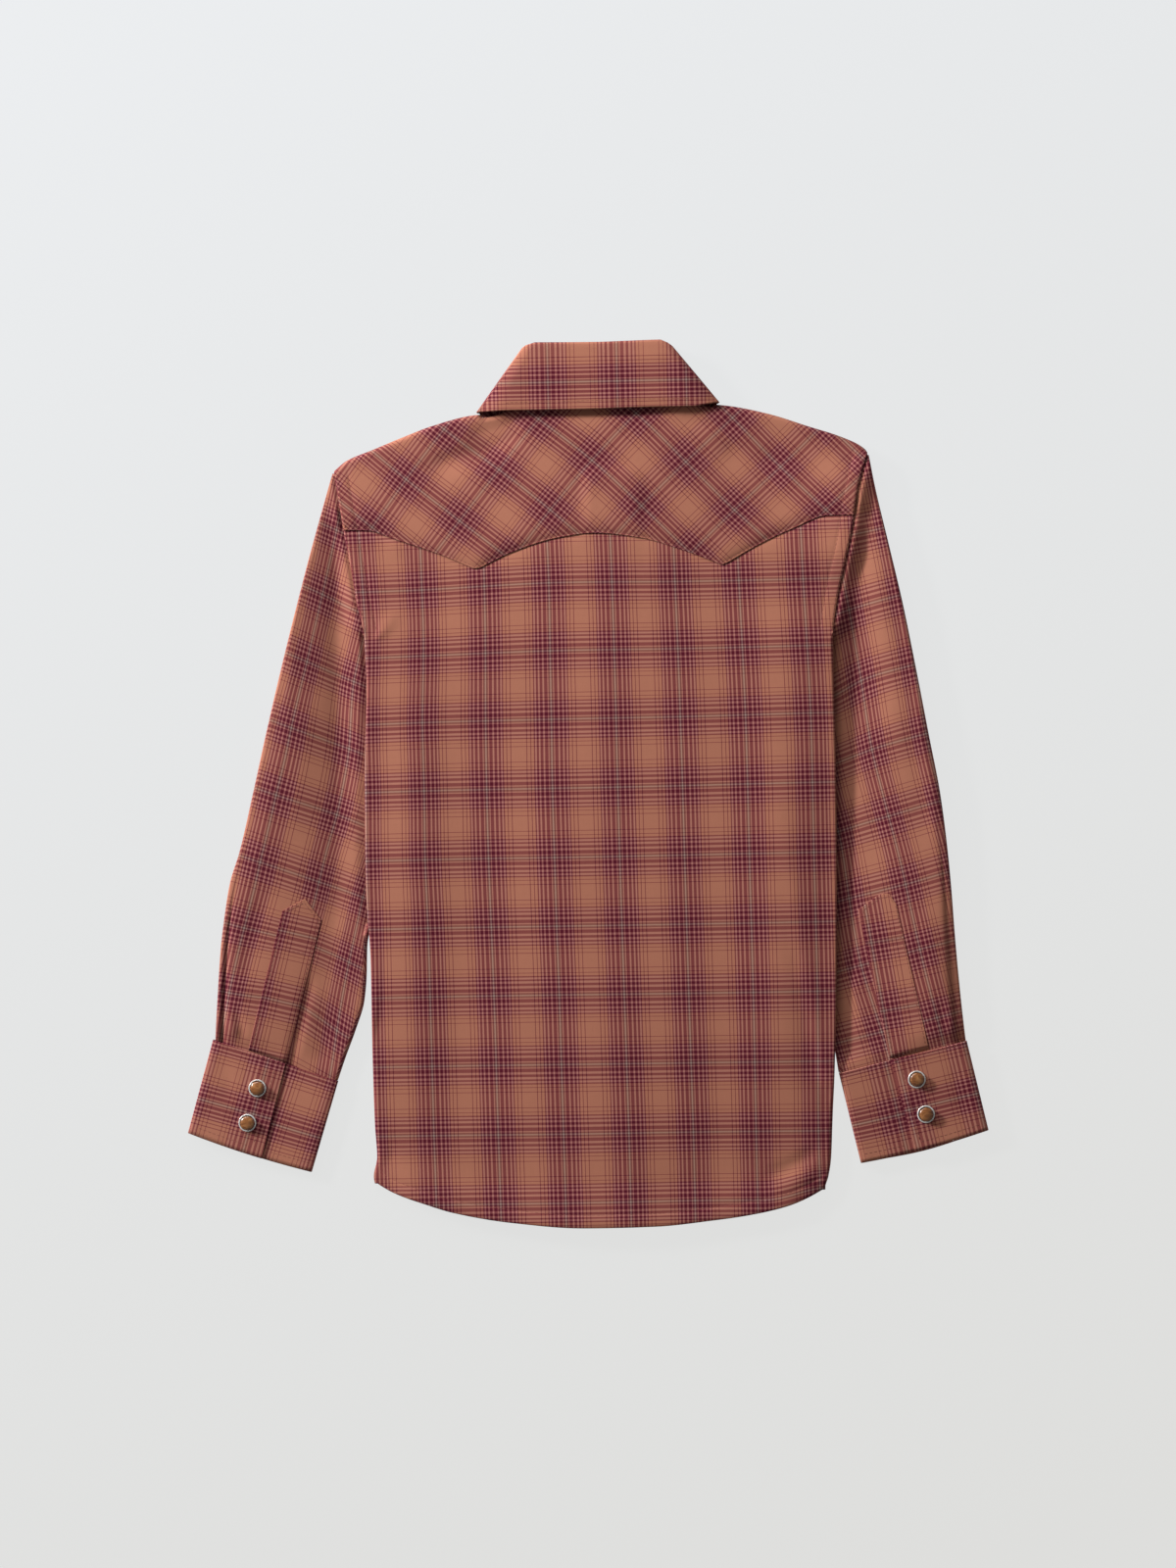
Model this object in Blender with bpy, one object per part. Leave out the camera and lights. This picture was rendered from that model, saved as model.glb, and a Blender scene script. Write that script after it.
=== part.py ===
"""A child's western snap shirt, laid flat on its front with its back up.

Tables and sizes are in millimetres and the meshes in metres. +X is to the right
as the back is seen, +Y runs from the hem to the collar and +Z is up from the
surface that the shirt lies on. Each piece of cloth is an outer face worked out
from the tables, which a Solidify modifier thickens inwards.
"""

import math
from collections import namedtuple

import bmesh
import bpy
import numpy as np

MM = 0.001
WELD = 0.00001
CLOTH = 1.0  # wall of every shirt panel
CUFF_WALL = 1.2
GAP = 0.3  # between two pieces that touch
FOLD_STEPS = 4  # flats round each folded edge

CENTRE_X = 7.6  # the front edge and the snaps lie on this line
UNDERARM_Y = 88.0  # the side folds start here, below the armholes
SIDE_SEAM_IN = 18.0  # from each side fold in to its side seam, underneath
YOKE_LAP = 7.0  # the yoke covers this much of the back
YOKE_LIFT = CLOTH + GAP
SHOULDER_DROP = 25.0  # from the shoulder fold to the front seam of the yoke
HEM_RISE = 3.0  # the front hems end this far above the back hem,
HEM_SIDE_RISE = 9.0  # and curve up by this much more to the side seams

# Edges of the body, and the height of the back panel along five lines across it.
BodyRow = namedtuple("BodyRow", "y left right left_top left_mid middle right_mid right_top")
BODY = [
    BodyRow(-246, -129.8, 145.4, 3.8, 4.0, 6.1, 4.2, 4.0),
    BodyRow(-220, -129.8, 148.7, 4.1, 4.2, 6.1, 4.4, 4.8),
    BodyRow(-170, -132.1, 151.0, 4.6, 4.3, 6.1, 4.7, 6.6),
    BodyRow(-110, -133.2, 152.1, 6.0, 4.4, 6.1, 4.8, 7.4),
    BodyRow(-60, -136.3, 152.2, 6.9, 4.5, 6.1, 4.9, 8.2),
    BodyRow(0, -136.9, 151.8, 7.4, 4.6, 6.1, 5.0, 9.2),
    BodyRow(60, -135.8, 150.4, 7.5, 4.6, 6.1, 5.0, 9.6),
    BodyRow(90, -137.2, 149.8, 7.2, 4.6, 6.1, 4.9, 9.2),
    BodyRow(112, -141.8, 152.3, 6.2, 4.6, 6.1, 4.8, 7.0),
    BodyRow(135, -145.8, 156.9, 5.6, 4.6, 6.1, 4.7, 6.0),
    BodyRow(157, -150.1, 161.4, 5.2, 4.6, 5.8, 4.6, 5.4),
    BodyRow(180, -153.8, 164.6, 4.8, 4.5, 5.2, 4.5, 4.9),
    BodyRow(205, -157.6, 171.2, 4.5, 4.5, 4.9, 4.5, 4.6),
    BodyRow(240, -163.0, 178.0, 4.5, 4.5, 4.8, 4.5, 4.6),
]
ACROSS = (0.0, 0.24, 0.5, 0.76, 1.0)  # where the five height lines run, as shares of the width

# Lower edge of the yoke. The two points of the western yoke are its corners.
YokePoint = namedtuple("YokePoint", "x y corner")
YOKE_EDGE = [
    YokePoint(-160, 155.4, False),
    YokePoint(-135.8, 155.1, False),
    YokePoint(-117.8, 149.6, False),
    YokePoint(-90.0, 140.2, False),
    YokePoint(-68.5, 131.2, True),
    YokePoint(-45.8, 142.2, False),
    YokePoint(-18.0, 150.8, False),
    YokePoint(4.0, 153.6, False),
    YokePoint(32.0, 150.6, False),
    YokePoint(57.5, 143.4, False),
    YokePoint(82.6, 134.0, True),
    YokePoint(103.0, 145.8, False),
    YokePoint(125.8, 156.6, False),
    YokePoint(146.0, 164.2, False),
    YokePoint(180, 164.8, False),
]

# Shoulder folds and, between the two neck points, the neck seam of the yoke.
NECK_LEFT_X, NECK_RIGHT_X = -60.0, 74.6
EdgePoint = namedtuple("EdgePoint", "x y")
SHOULDER = [
    EdgePoint(-156.2, 191.2),
    EdgePoint(-148.4, 197.8),
    EdgePoint(-131.5, 205.0),
    EdgePoint(-114.2, 212.2),
    EdgePoint(-95.6, 219.4),
    EdgePoint(-71.0, 225.8),
    EdgePoint(NECK_LEFT_X, 226.8),
    EdgePoint(-30.0, 233.2),
    EdgePoint(8.0, 236.0),
    EdgePoint(46.0, 236.4),
    EdgePoint(NECK_RIGHT_X, 232.8),
    EdgePoint(88.0, 231.4),
    EdgePoint(111.4, 226.6),
    EdgePoint(134.2, 219.4),
    EdgePoint(156.4, 212.2),
    EdgePoint(169.6, 205.0),
    EdgePoint(171.4, 202.4),
]
HEM = [
    EdgePoint(-135.0, -240.0),
    EdgePoint(-129.6, -245.2),
    EdgePoint(-118.9, -250.6),
    EdgePoint(-99.8, -257.4),
    EdgePoint(-82.6, -262.6),
    EdgePoint(-47.2, -268.6),
    EdgePoint(-4.3, -271.8),
    EdgePoint(41.2, -270.8),
    EdgePoint(76.0, -267.2),
    EdgePoint(98.2, -264.0),
    EdgePoint(122.2, -258.4),
    EdgePoint(145.2, -247.4),
    EdgePoint(150.0, -243.5),
]
NECK_HALF_WIDTH, NECK_DEPTH = 67.2, 60.0  # front neck curve, a half ellipse
NECK_TILT = 0.045  # the right neck point lies higher
NECK_EASE = 0.9  # between the neck curve and the stand

BAND_WIDTH = 26.0
BAND_LIFT = 2.4  # the snap caps carry the band
UNDERLAP = 11.0  # the right front passes the centre line by this much
FRONT_SNAP_Y = (182.0, 138.0, 70.0, 2.0, -66.0, -134.0, -202.0)

# Sleeves. Left and right are as the back is seen. Outer and inner edges run down to the cuff.
SLEEVE_CROWN = 5.9
SLEEVE_UNDER = 3.2  # height of a sleeve where the body lies on it
SLEEVE_FOLD = 2.2  # radius of a sleeve's folded edges
SLEEVE_RISE = 30.0  # in from a folded edge to the full crown
ARMHOLE_GAP = 0.45
SLEEVE_OUTER = {
    "left": [
        (-156.7, 190.2), (-161.6, 173.0), (-171.2, 138.0), (-180.4, 102.0), (-189.2, 66.0), (-197.5, 30.0),
        (-205.4, -6.0), (-213.7, -42.0), (-219.3, -60.0), (-222.6, -80.0), (-225.0, -100.0), (-227.0, -130.0),
        (-228.5, -156.6),
    ],
    "right": [
        (171.8, 201.6), (174.8, 186.0), (184.0, 147.0), (192.4, 111.6), (201.4, 67.4), (209.0, 28.0),
        (215.4, -4.8), (219.6, -36.0), (222.4, -64.0), (224.5, -91.2), (227.0, -118.8), (230.3, -149.0),
        (231.4, -156.9),
    ],
}
SLEEVE_INNER = {
    "left": [
        (-104.0, 74.0), (-104.5, 40.0), (-109.0, 0.0), (-119.0, -40.0), (-130.0, -76.0), (-135.4, -100.0),
        (-135.8, -118.0), (-137.2, -133.0), (-142.4, -150.4), (-149.0, -168.4), (-153.4, -181.6),
    ],
    "right": [
        (118.0, 76.0), (118.5, 40.0), (121.5, 0.0), (128.0, -45.0), (136.0, -90.0), (145.0, -132.0),
        (151.2, -163.0), (153.4, -176.6),
    ],
}
LIP = {"left": (-121.0, 82.0), "right": (134.0, 83.0)}  # hidden, between the underarm and the body's edge
ARMHOLE_CORNER_Y = 90.0  # there the armhole seams turn in under the body
# The pleat beside the outer edge, near the cuff: how far in it lies and how deep it gets.
Pleat = namedtuple("Pleat", "inset depth start")
PLEAT = {"left": Pleat(4.4, 2.0, 0.68), "right": Pleat(7.4, 2.0, 0.6)}
ROWS_DOWN_SLEEVE = 19

# Cuffs: the corners at the sleeve seam and at the lower edge, where the overlap ends,
# and the lower edge's bow.
Cuff = namedtuple("Cuff", "top_inner top_outer low_inner low_outer overlap_top overlap_low bow")
CUFF = {
    "left": Cuff(
        (-153.2, -182.1), (-229.9, -156.6), (-169.4, -237.7), (-245.25, -213.6), 0.42, 0.40, 1.3
    ),
    "right": Cuff(
        (153.6, -177.1), (231.9, -157.2), (167.1, -232.2), (245.25, -211.8), 0.40, 0.42, 1.6
    ),
}
UNDERLAP_SHARE = 0.32  # of the cuff's width, beneath the overlap
CUFF_INNER_HEIGHT, CUFF_HEIGHT = 4.4, 5.9
CUFF_SNAPS = {
    "left": [(-202.5, -186.2), (-208.6, -207.4)],
    "right": [(201.1, -180.8), (206.7, -202.1)],
}

# Plackets: the point, the shoulders, and the foot at the cuff seam.
Placket = namedtuple("Placket", "tip outer_shoulder inner_shoulder outer_foot inner_foot blunt")
PLACKET_GAP = 0.5
PLACKET = {
    "left": Placket(
        (-173.5, -70.2), (-187.0, -77.6), (-163.4, -83.4), (-208.0, -163.0), (-184.0, -170.8), 0.0
    ),
    "right": Placket(
        (181.0, -67.2), (188.4, -73.6), (165.4, -77.0), (208.4, -161.8), (184.6, -167.8), 0.35
    ),
}

# Collar: the roll line and the leaf's lower edge as seen from behind, then the two fronts beneath.
LEAF_TOP, LEAF_ROLL = 9.8, 1.7  # height of the leaf, and radius of its roll
LEAF_TAIL = 1.5  # the leaf runs this far down past its roll, to its seam with the stand
LEAF_FOLD_DEPTH = 3.2  # how far each side fold of the leaf rounds in
CollarRow = namedtuple("CollarRow", "roll_x roll_y edge_x edge_y")
LEAF_BACK = [
    CollarRow(-40.0, 267.7, -68.6, 227.5),
    CollarRow(-33.0, 270.1, -54.0, 228.2),
    CollarRow(-10.0, 270.2, -22.0, 228.7),
    CollarRow(6.0, 270.4, 6.0, 229.3),
    CollarRow(22.0, 271.0, 36.0, 230.4),
    CollarRow(44.5, 271.8, 66.0, 231.0),
    CollarRow(50.8, 269.0, 80.4, 233.7),
]
LEAF_FRONT = {
    "left": [
        CollarRow(-34.0, 262.0, -62.0, 222.0),
        CollarRow(-30.0, 243.0, -59.0, 203.0),
        CollarRow(-22.0, 222.0, -52.0, 183.0),
        CollarRow(-10.0, 205.0, -43.0, 165.0),
        CollarRow(3.6, 197.0, -33.0, 150.0),
    ],
    "right": [
        CollarRow(46.0, 264.0, 75.5, 227.0),
        CollarRow(43.0, 245.0, 73.5, 206.0),
        CollarRow(36.0, 223.0, 67.0, 185.0),
        CollarRow(25.0, 206.0, 58.5, 166.0),
        CollarRow(11.6, 197.0, 48.5, 151.0),
    ],
}

FRONT_SNAP_RADIUS = 5.4
SNAP_RING_OUTER, SNAP_RING_INNER, SNAP_CAP_RADIUS = 5.4, 4.6, 4.3
SNAP_SIDES = 16

Finish = namedtuple("Finish", "colour roughness metallic")
PLAID = Finish((0.36, 0.13, 0.09), 0.85, 0.0)
SILVER = Finish((0.75, 0.74, 0.72), 0.25, 1.0)
PEARL = Finish((0.25, 0.11, 0.04), 0.3, 0.0)


def smooth_line(xs, ys):
    """A soft curve through the points that never overshoots them, as y for any x."""
    xs, ys = np.array(xs, float), np.array(ys, float)
    run = np.diff(xs)
    slope = np.diff(ys) / run
    tangent = np.concatenate(([slope[0]], np.zeros(len(xs) - 2), [slope[-1]]))
    for k in range(1, len(xs) - 1):
        before, after = slope[k - 1], slope[k]
        if before * after > 0:
            wide, narrow = 2 * run[k] + run[k - 1], run[k] + 2 * run[k - 1]
            tangent[k] = (wide + narrow) / (wide / before + narrow / after)

    def at(x):
        k = int(np.clip(np.searchsorted(xs, x) - 1, 0, len(run) - 1))
        t = min(max((x - xs[k]) / run[k], 0.0), 1.0)
        rise = ys[k] * (1 + 2 * t) * (1 - t) ** 2 + ys[k + 1] * t * t * (3 - 2 * t)
        return rise + run[k] * (tangent[k] * t * (1 - t) ** 2 - tangent[k + 1] * t * t * (1 - t))

    return at


def length_shares(points):
    run = np.concatenate(([0.0], np.cumsum(np.hypot(*np.diff(np.array(points, float), axis=0).T))))
    return run / run[-1]


def route(points):
    """A soft curve through the points, as a point for each share of its length."""
    shares, points = length_shares(points), np.array(points, float)
    place_x, place_y = (smooth_line(shares, points[:, k]) for k in (0, 1))
    return lambda share: np.array((place_x(share), place_y(share)))


def straight_route(points):
    """The same with straight runs from point to point."""
    shares, points = length_shares(points), np.array(points, float)
    return lambda share: np.array([np.interp(share, shares, points[:, k]) for k in (0, 1)])


def patch(near, far, left, right):
    """A point of the sheet inside four curves, s from near to far and t from left to right."""

    def at(s, t):
        sides = (1 - s) * near(t) + s * far(t) + (1 - t) * left(s) + t * right(s)
        near_corners = (1 - t) * near(0) + t * near(1)
        far_corners = (1 - t) * far(0) + t * far(1)
        return sides - (1 - s) * near_corners - s * far_corners

    return at


def soft_step(t):
    t = min(max(t, 0.0), 1.0)
    return t * t * (3 - 2 * t)


def mix(a, b, share):
    return a + (b - a) * share


class Outline:
    """A closed outline in plan, which tells how far outside it a point lies."""

    def __init__(self, points):
        self.start = np.array(points, float)
        self.end = np.roll(self.start, -1, axis=0)
        self.run = self.end - self.start

    def clearance(self, x, y):
        offset = np.array((x, y)) - self.start
        share = np.clip((offset * self.run).sum(axis=1) / (self.run**2).sum(axis=1), 0, 1)
        nearest = np.hypot(*(offset - share[:, None] * self.run).T).min()
        inside = False
        for (x0, y0), (x1, y1) in zip(self.start, self.end):
            if (y0 > y) != (y1 > y) and x < mix(x0, x1, (y - y0) / (y1 - y0)):
                inside = not inside
        return 0.0 if inside else nearest


class Pad:
    """Something that lifts the cloth lying on it, with a soft slope beside it."""

    def __init__(self, points, height, hold, slope):
        self.outline, self.height, self.hold, self.slope = Outline(points), height, hold, slope

    def lift(self, x, y):
        return self.height * soft_step(1 - (self.outline.clearance(x, y) - self.hold) / self.slope)


def lift_over(pads, x, y):
    return max(pad.lift(x, y) for pad in pads)


def column(rows, name):
    return smooth_line([row.y for row in rows], [getattr(row, name) for row in rows])


body_left, body_right = column(BODY, "left"), column(BODY, "right")
body_tops = [column(BODY, name) for name in BodyRow._fields[3:]]
shoulder_y = smooth_line([p.x for p in SHOULDER], [p.y for p in SHOULDER])
hem_y = smooth_line([p.x for p in HEM], [p.y for p in HEM])


def neck_x(side, y):
    """Where the front neck curve crosses a level."""
    sign, x = (-1, NECK_LEFT_X) if side == "left" else (1, NECK_RIGHT_X)
    for _ in range(6):
        base = neck_front(0.0)[1] + NECK_TILT * (x - neck_front(0.0)[0])
        drop = min(max((base - y) / NECK_DEPTH, 0.0), 1.0)
        x = CENTRE_X + sign * NECK_HALF_WIDTH * math.sqrt(1 - drop * drop)
    return x


def stretches(points):
    """The yoke's edge as one soft curve between each two of its corners."""
    found = [[]]
    for point in points:
        found[-1].append(point)
        if point.corner:
            found.append([point])
    return [(part[-1].x, smooth_line([p.x for p in part], [p.y for p in part])) for part in found]


YOKE_STRETCHES = stretches(YOKE_EDGE)


def yoke_edge_y(x):
    return next((line for end, line in YOKE_STRETCHES if x <= end), YOKE_STRETCHES[-1][1])(x)


def neck_front(share):
    """A point of the front neck curve, from the left neck point round to the right one."""
    angle = math.pi * share
    x = CENTRE_X - NECK_HALF_WIDTH * math.cos(angle)
    base = shoulder_y(CENTRE_X) - 6.2 + NECK_TILT * (x - CENTRE_X)
    return np.array((x, base - NECK_DEPTH * math.sin(angle)))


def armhole_points(side):
    """The mouth of a sleeve from the hidden underarm up to the shoulder tip."""
    sign, edge = (1, body_left) if side == "left" else (-1, body_right)
    tip = SLEEVE_OUTER[side][0]
    levels = (ARMHOLE_CORNER_Y, 104.0, 118.0, 132.0, 146.0, 160.0, tip[1] - 16.0, tip[1] - 6.0)
    visible = [(edge(y) - sign * ARMHOLE_GAP, y) for y in levels]
    return [SLEEVE_INNER[side][0], LIP[side], *visible, tip]


def sleeve_region(side):
    """Where a sleeve lies double under the body."""
    far = -300.0 if side == "left" else 300.0
    edge = body_left if side == "left" else body_right
    inner = SLEEVE_INNER[side]
    return [(far, 90.0), (edge(90.0), 90.0), LIP[side], *inner, (far, inner[-1][1])]


COLLAR_POINTS = [
    Pad([row[:2] for row in rows] + [row[2:] for row in reversed(rows)], CLOTH + 0.4, 7.0, 12.0)
    for rows in LEAF_FRONT.values()
]
SLEEVE_PADS = [
    Pad(sleeve_region("left"), SLEEVE_UNDER + 0.4, 7.0, 17.0),
    Pad(sleeve_region("right"), SLEEVE_UNDER + 0.8, 7.0, 17.0),
]


def band_pad(height):
    left, right = CENTRE_X - BAND_WIDTH / 2, CENTRE_X + BAND_WIDTH / 2
    return Pad([(left, 180.0), (right, 180.0), (right, -290.0), (left, -290.0)], height, 7.0, 24.0)


LEFT_PADS = COLLAR_POINTS + SLEEVE_PADS + [band_pad(BAND_LIFT)]
RIGHT_PADS = COLLAR_POINTS + SLEEVE_PADS + [band_pad(BAND_LIFT + CLOTH + GAP)]


def front_lift(x, y):
    """Height of the fronts' outer face, which looks down."""
    return lift_over(LEFT_PADS if x < CENTRE_X - UNDERLAP else RIGHT_PADS, x, y)


def back_top(x, y):
    """Height of the back panel's outer face. It never sinks into the fronts."""
    left, right = body_left(y), body_right(y)
    share = (x - left) / (right - left)
    free = smooth_line(ACROSS, [top(y) for top in body_tops])(share)
    return max(free, front_lift(x, y) + 2 * CLOTH + 0.4)


def side_fold(side, y):
    """(edge x, underside height, fold radius) of a side fold."""
    edge = body_left(y) if side == "left" else body_right(y)
    sign = 1 if side == "left" else -1
    under = front_lift(edge + sign * 2.0, y)
    return edge, under, (back_top(edge, y) - under) / 2


def fold_inset(side, y):
    """How far in from the silhouette the top face starts, which is nothing at an armhole."""
    return side_fold(side, y)[2] * soft_step((UNDERARM_Y + 7.0 - y) / 7.0)


def across_body(share, y):
    left = body_left(y) + fold_inset("left", y)
    right = body_right(y) - fold_inset("right", y)
    return mix(left, right, share)


def meet(share, curve, guess):
    """The y where the line at this share across the body meets a curve given as y for x."""
    y = guess
    for _ in range(8):
        y = curve(across_body(share, y))
    return y


COLUMNS = (0, 0.05, 0.12, 0.19, 0.25, 0.298, 0.36, 0.43, 0.5, 0.57, 0.64, 0.704, 0.755, 0.82, 0.88, 0.95, 1)
LEVELS = (122, 106, UNDERARM_Y + 7, UNDERARM_Y, 72, 40, 0, -40, -80, -120, -160, -200, -226)


def material(name, finish):
    made = bpy.data.materials.get(name)
    if made:
        return made
    made = bpy.data.materials.new(name)
    made.use_nodes = True
    shader = made.node_tree.nodes["Principled BSDF"]
    shader.inputs["Base Color"].default_value = (*finish.colour, 1)
    shader.inputs["Roughness"].default_value = finish.roughness
    shader.inputs["Metallic"].default_value = finish.metallic
    return made


def add_object(name, bm, finish):
    mesh = bpy.data.meshes.new(name)
    bm.to_mesh(mesh)
    bm.free()
    mesh.shade_smooth()
    mesh.set_sharp_from_angle(angle=math.radians(50))
    mesh.materials.append(material(name, finish))
    made = bpy.data.objects.new(name, mesh)
    bpy.context.scene.collection.objects.link(made)
    return made


def cloth(name, grids, closed=False, wall=CLOTH, even=True):
    """A piece of cloth from grids of points on its outer face.

    Seen from outside, each row runs to the right and the next row lies above it. Where
    folds cross, as in the collar, an even wall would throw out spikes.
    """
    bm = bmesh.new()
    for grid in grids:
        rows = [[bm.verts.new(np.array(point, float) * MM) for point in row] for row in grid]
        for row, after in zip(rows, rows[1:]):
            spans = range(len(row) if closed else len(row) - 1)
            for k in spans:
                n = (k + 1) % len(row)
                bm.faces.new((row[k], row[n], after[n], after[k]))
    bmesh.ops.remove_doubles(bm, verts=bm.verts, dist=WELD)
    made = add_object(name, bm, PLAID)
    thicken = made.modifiers.new("wall", "SOLIDIFY")
    thicken.thickness = wall * MM
    thicken.offset = -1
    thicken.use_even_offset = even
    thicken.use_quality_normals = True
    return made


def upside_down(grid):
    """The same grid with its outer face looking the other way."""
    return [list(reversed(row)) for row in grid]


def arc_angles(start, end):
    return [mix(start, end, k / FOLD_STEPS) for k in range(FOLD_STEPS + 1)]


def build_back():
    def row_points(height_of):
        return [(across_body(share, height_of(share)), height_of(share)) for share in COLUMNS]

    upper = {share: meet(share, lambda x: yoke_edge_y(x) + YOKE_LAP, 150.0) for share in COLUMNS}
    lower = {share: meet(share, hem_y, -260.0) for share in COLUMNS}
    rows = [row_points(lambda share: upper[share])]
    rows.append(row_points(lambda share: mix(upper[share], LEVELS[0], 0.5)))
    rows += [row_points(lambda share, level=level: level) for level in LEVELS]
    rows.append(row_points(lambda share: lower[share]))
    top = [[(x, y, back_top(x, y)) for x, y in row] for row in reversed(rows)]
    grids = [top]
    for side, end in (("left", 0), ("right", -1)):
        sign = 1 if side == "left" else -1
        wrap = []
        for row in top:
            x, y, z = row[end]
            if y > UNDERARM_Y + 0.01:
                continue
            edge, under, radius = side_fold(side, y)
            points = [(x, y, z)]
            for angle in arc_angles(math.pi / 2, -math.pi / 2)[1:]:
                turn = radius * (1 - math.cos(angle))
                points.append((edge + sign * turn, y, under + radius + radius * math.sin(angle)))
            for inset in (10.0, SIDE_SEAM_IN):
                place = edge + sign * inset
                level = y + HEM_RISE * inset / SIDE_SEAM_IN * (y < LEVELS[-1] - 1)
                points.append((place, level, front_lift(place, y)))
            wrap.append(points if side == "right" else list(reversed(points)))
        grids.append(wrap)
    return cloth("back", grids)


def build_yoke():
    def shoulder_line(share):
        return meet(share, shoulder_y, 210.0)

    def top_height(x, y):
        return back_top(x, y) + YOKE_LIFT

    folded = [share for share in COLUMNS if share < 0.3 or share > 0.7]
    radius, fold_y = {}, {}
    for share in COLUMNS:
        y = shoulder_line(share)
        x = across_body(share, y)
        lift = front_lift(x, y - 6.0)
        radius[share] = (top_height(x, y) - lift) / 2 if share in folded else 0.0
        fold_y[share] = y
    top = []
    for down in (0, 0.22, 0.44, 0.66, 0.84, 1):
        row = []
        for share in COLUMNS:
            low = meet(share, yoke_edge_y, 150.0)
            y = mix(low, fold_y[share] - radius[share], down)
            x = across_body(share, y)
            row.append((x, y, top_height(x, y)))
        top.append(row)
    grids = [top]
    for side in ("left", "right"):
        shares = [share for share in folded if (share < 0.5) == (side == "left")]
        neck = max(shares) if side == "left" else min(shares)
        wrap = [[top[-1][COLUMNS.index(share)] for share in shares]]
        for angle in arc_angles(math.pi / 2, -math.pi / 2)[1:]:
            row = []
            for share in shares:
                r = radius[share]
                x = across_body(share, fold_y[share])
                middle = top_height(x, fold_y[share] - r) - r
                row.append((x, fold_y[share] - r + r * math.cos(angle), middle + r * math.sin(angle)))
            wrap.append(row)
        for drop in (0.5, 1.0):
            along = [share / neck if side == "left" else (1 - share) / (1 - neck) for share in shares]
            wrap.append([front_shoulder(side, share, drop) for share in along])
        grids.append(wrap)
    return cloth("yoke_back", grids)


def front_shoulder(side, share, drop):
    """A point under a shoulder fold, by its share from armhole to neck and of the drop."""
    fold_neck = NECK_LEFT_X if side == "left" else NECK_RIGHT_X
    edge = body_left if side == "left" else body_right
    tip_x = SLEEVE_OUTER[side][0][0]
    fold_y = shoulder_y(mix(tip_x, fold_neck, share))
    y = fold_y - SHOULDER_DROP * drop
    inner = neck_x(side, shoulder_y(fold_neck) - SHOULDER_DROP * drop)
    x = mix(edge(min(y, fold_y - 1.0)), inner, share)
    return (x, y, front_lift(x, y))


def yoke_shares(side):
    """The shares of a shoulder, from armhole to neck, where the yoke has its columns."""
    shares = [share if side == "left" else 1 - share for share in COLUMNS]
    shoulder = sorted(share for share in shares if share < 0.3)
    return [share / shoulder[-1] for share in shoulder]


FRONT_COLUMNS = (0, 0.1, 0.22, 0.36, 0.5, 0.64, 0.76, 0.88, 1)


def build_front(side):
    """A front panel: a part that the neck curve cuts, then level rows down to the hem."""
    edge = body_left if side == "left" else body_right
    sign = 1 if side == "left" else -1
    inner_x = CENTRE_X - BAND_WIDTH / 2 - GAP if side == "left" else CENTRE_X - UNDERLAP
    chest_y = 156.0

    under_yoke = [front_shoulder(side, share, 1.0) for share in yoke_shares(side)]
    shoulder_seam = straight_route([(x, y - GAP) for x, y, _ in under_yoke])
    seam_end = shoulder_seam(1.0)
    neck_start = math.acos((CENTRE_X - seam_end[0]) / NECK_HALF_WIDTH) / math.pi
    neck_end = math.acos((CENTRE_X - inner_x) / NECK_HALF_WIDTH) / math.pi
    neck = [neck_front(mix(neck_start, neck_end, k / 5)) for k in range(1, 6)]
    neck_line = route([seam_end, *neck, (inner_x, chest_y)])
    armhole_top = shoulder_seam(0.0)
    armhole = route([mix(armhole_top, np.array((edge(chest_y), chest_y)), k / 2) for k in range(3)])
    chest = route([(mix(edge(chest_y), inner_x, k / 4), chest_y) for k in range(5)])
    upper = patch(shoulder_seam, chest, armhole, neck_line)
    rows = [[tuple(upper(s, t)) for t in FRONT_COLUMNS] for s in (0, 0.2, 0.4, 0.6, 0.8, 1)]
    for y in (138, 120, 104, UNDERARM_Y + 2, UNDERARM_Y + GAP, *LEVELS[4:]):
        seam = sign * (SIDE_SEAM_IN + GAP) if y <= UNDERARM_Y + 1 else 0.0
        rows.append([(mix(edge(y) + seam, inner_x, t), y) for t in FRONT_COLUMNS])
    corner_y = meet(0 if side == "left" else 1, hem_y, -250.0)
    seam_x = edge(corner_y) + sign * (SIDE_SEAM_IN + GAP)
    hem = []
    for t in FRONT_COLUMNS:
        x = mix(seam_x, inner_x, t)
        side_rise = HEM_SIDE_RISE * soft_step(1 - abs(x - seam_x) / 50.0)
        hem.append((x, hem_y(x) + HEM_RISE + side_rise))
    rows.append(hem)
    pads = LEFT_PADS if side == "left" else RIGHT_PADS
    grid = [[(x, y, lift_over(pads, x, y)) for x, y in row] for row in rows]
    return cloth("front_" + side, [grid if side == "left" else upside_down(grid)])


def build_band():
    rows = []
    for share in [k / 14 for k in range(15)]:
        row = []
        for across in (0, 1 / 3, 2 / 3, 1):
            x = CENTRE_X + BAND_WIDTH * (across - 0.5)
            angle = math.acos((CENTRE_X - x) / NECK_HALF_WIDTH) / math.pi
            top, low = neck_front(angle)[1] - GAP, hem_y(x) + HEM_RISE
            row.append((x, mix(top, low, share), BAND_LIFT))
        rows.append(row)
    return cloth("front_band", [rows])


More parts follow.
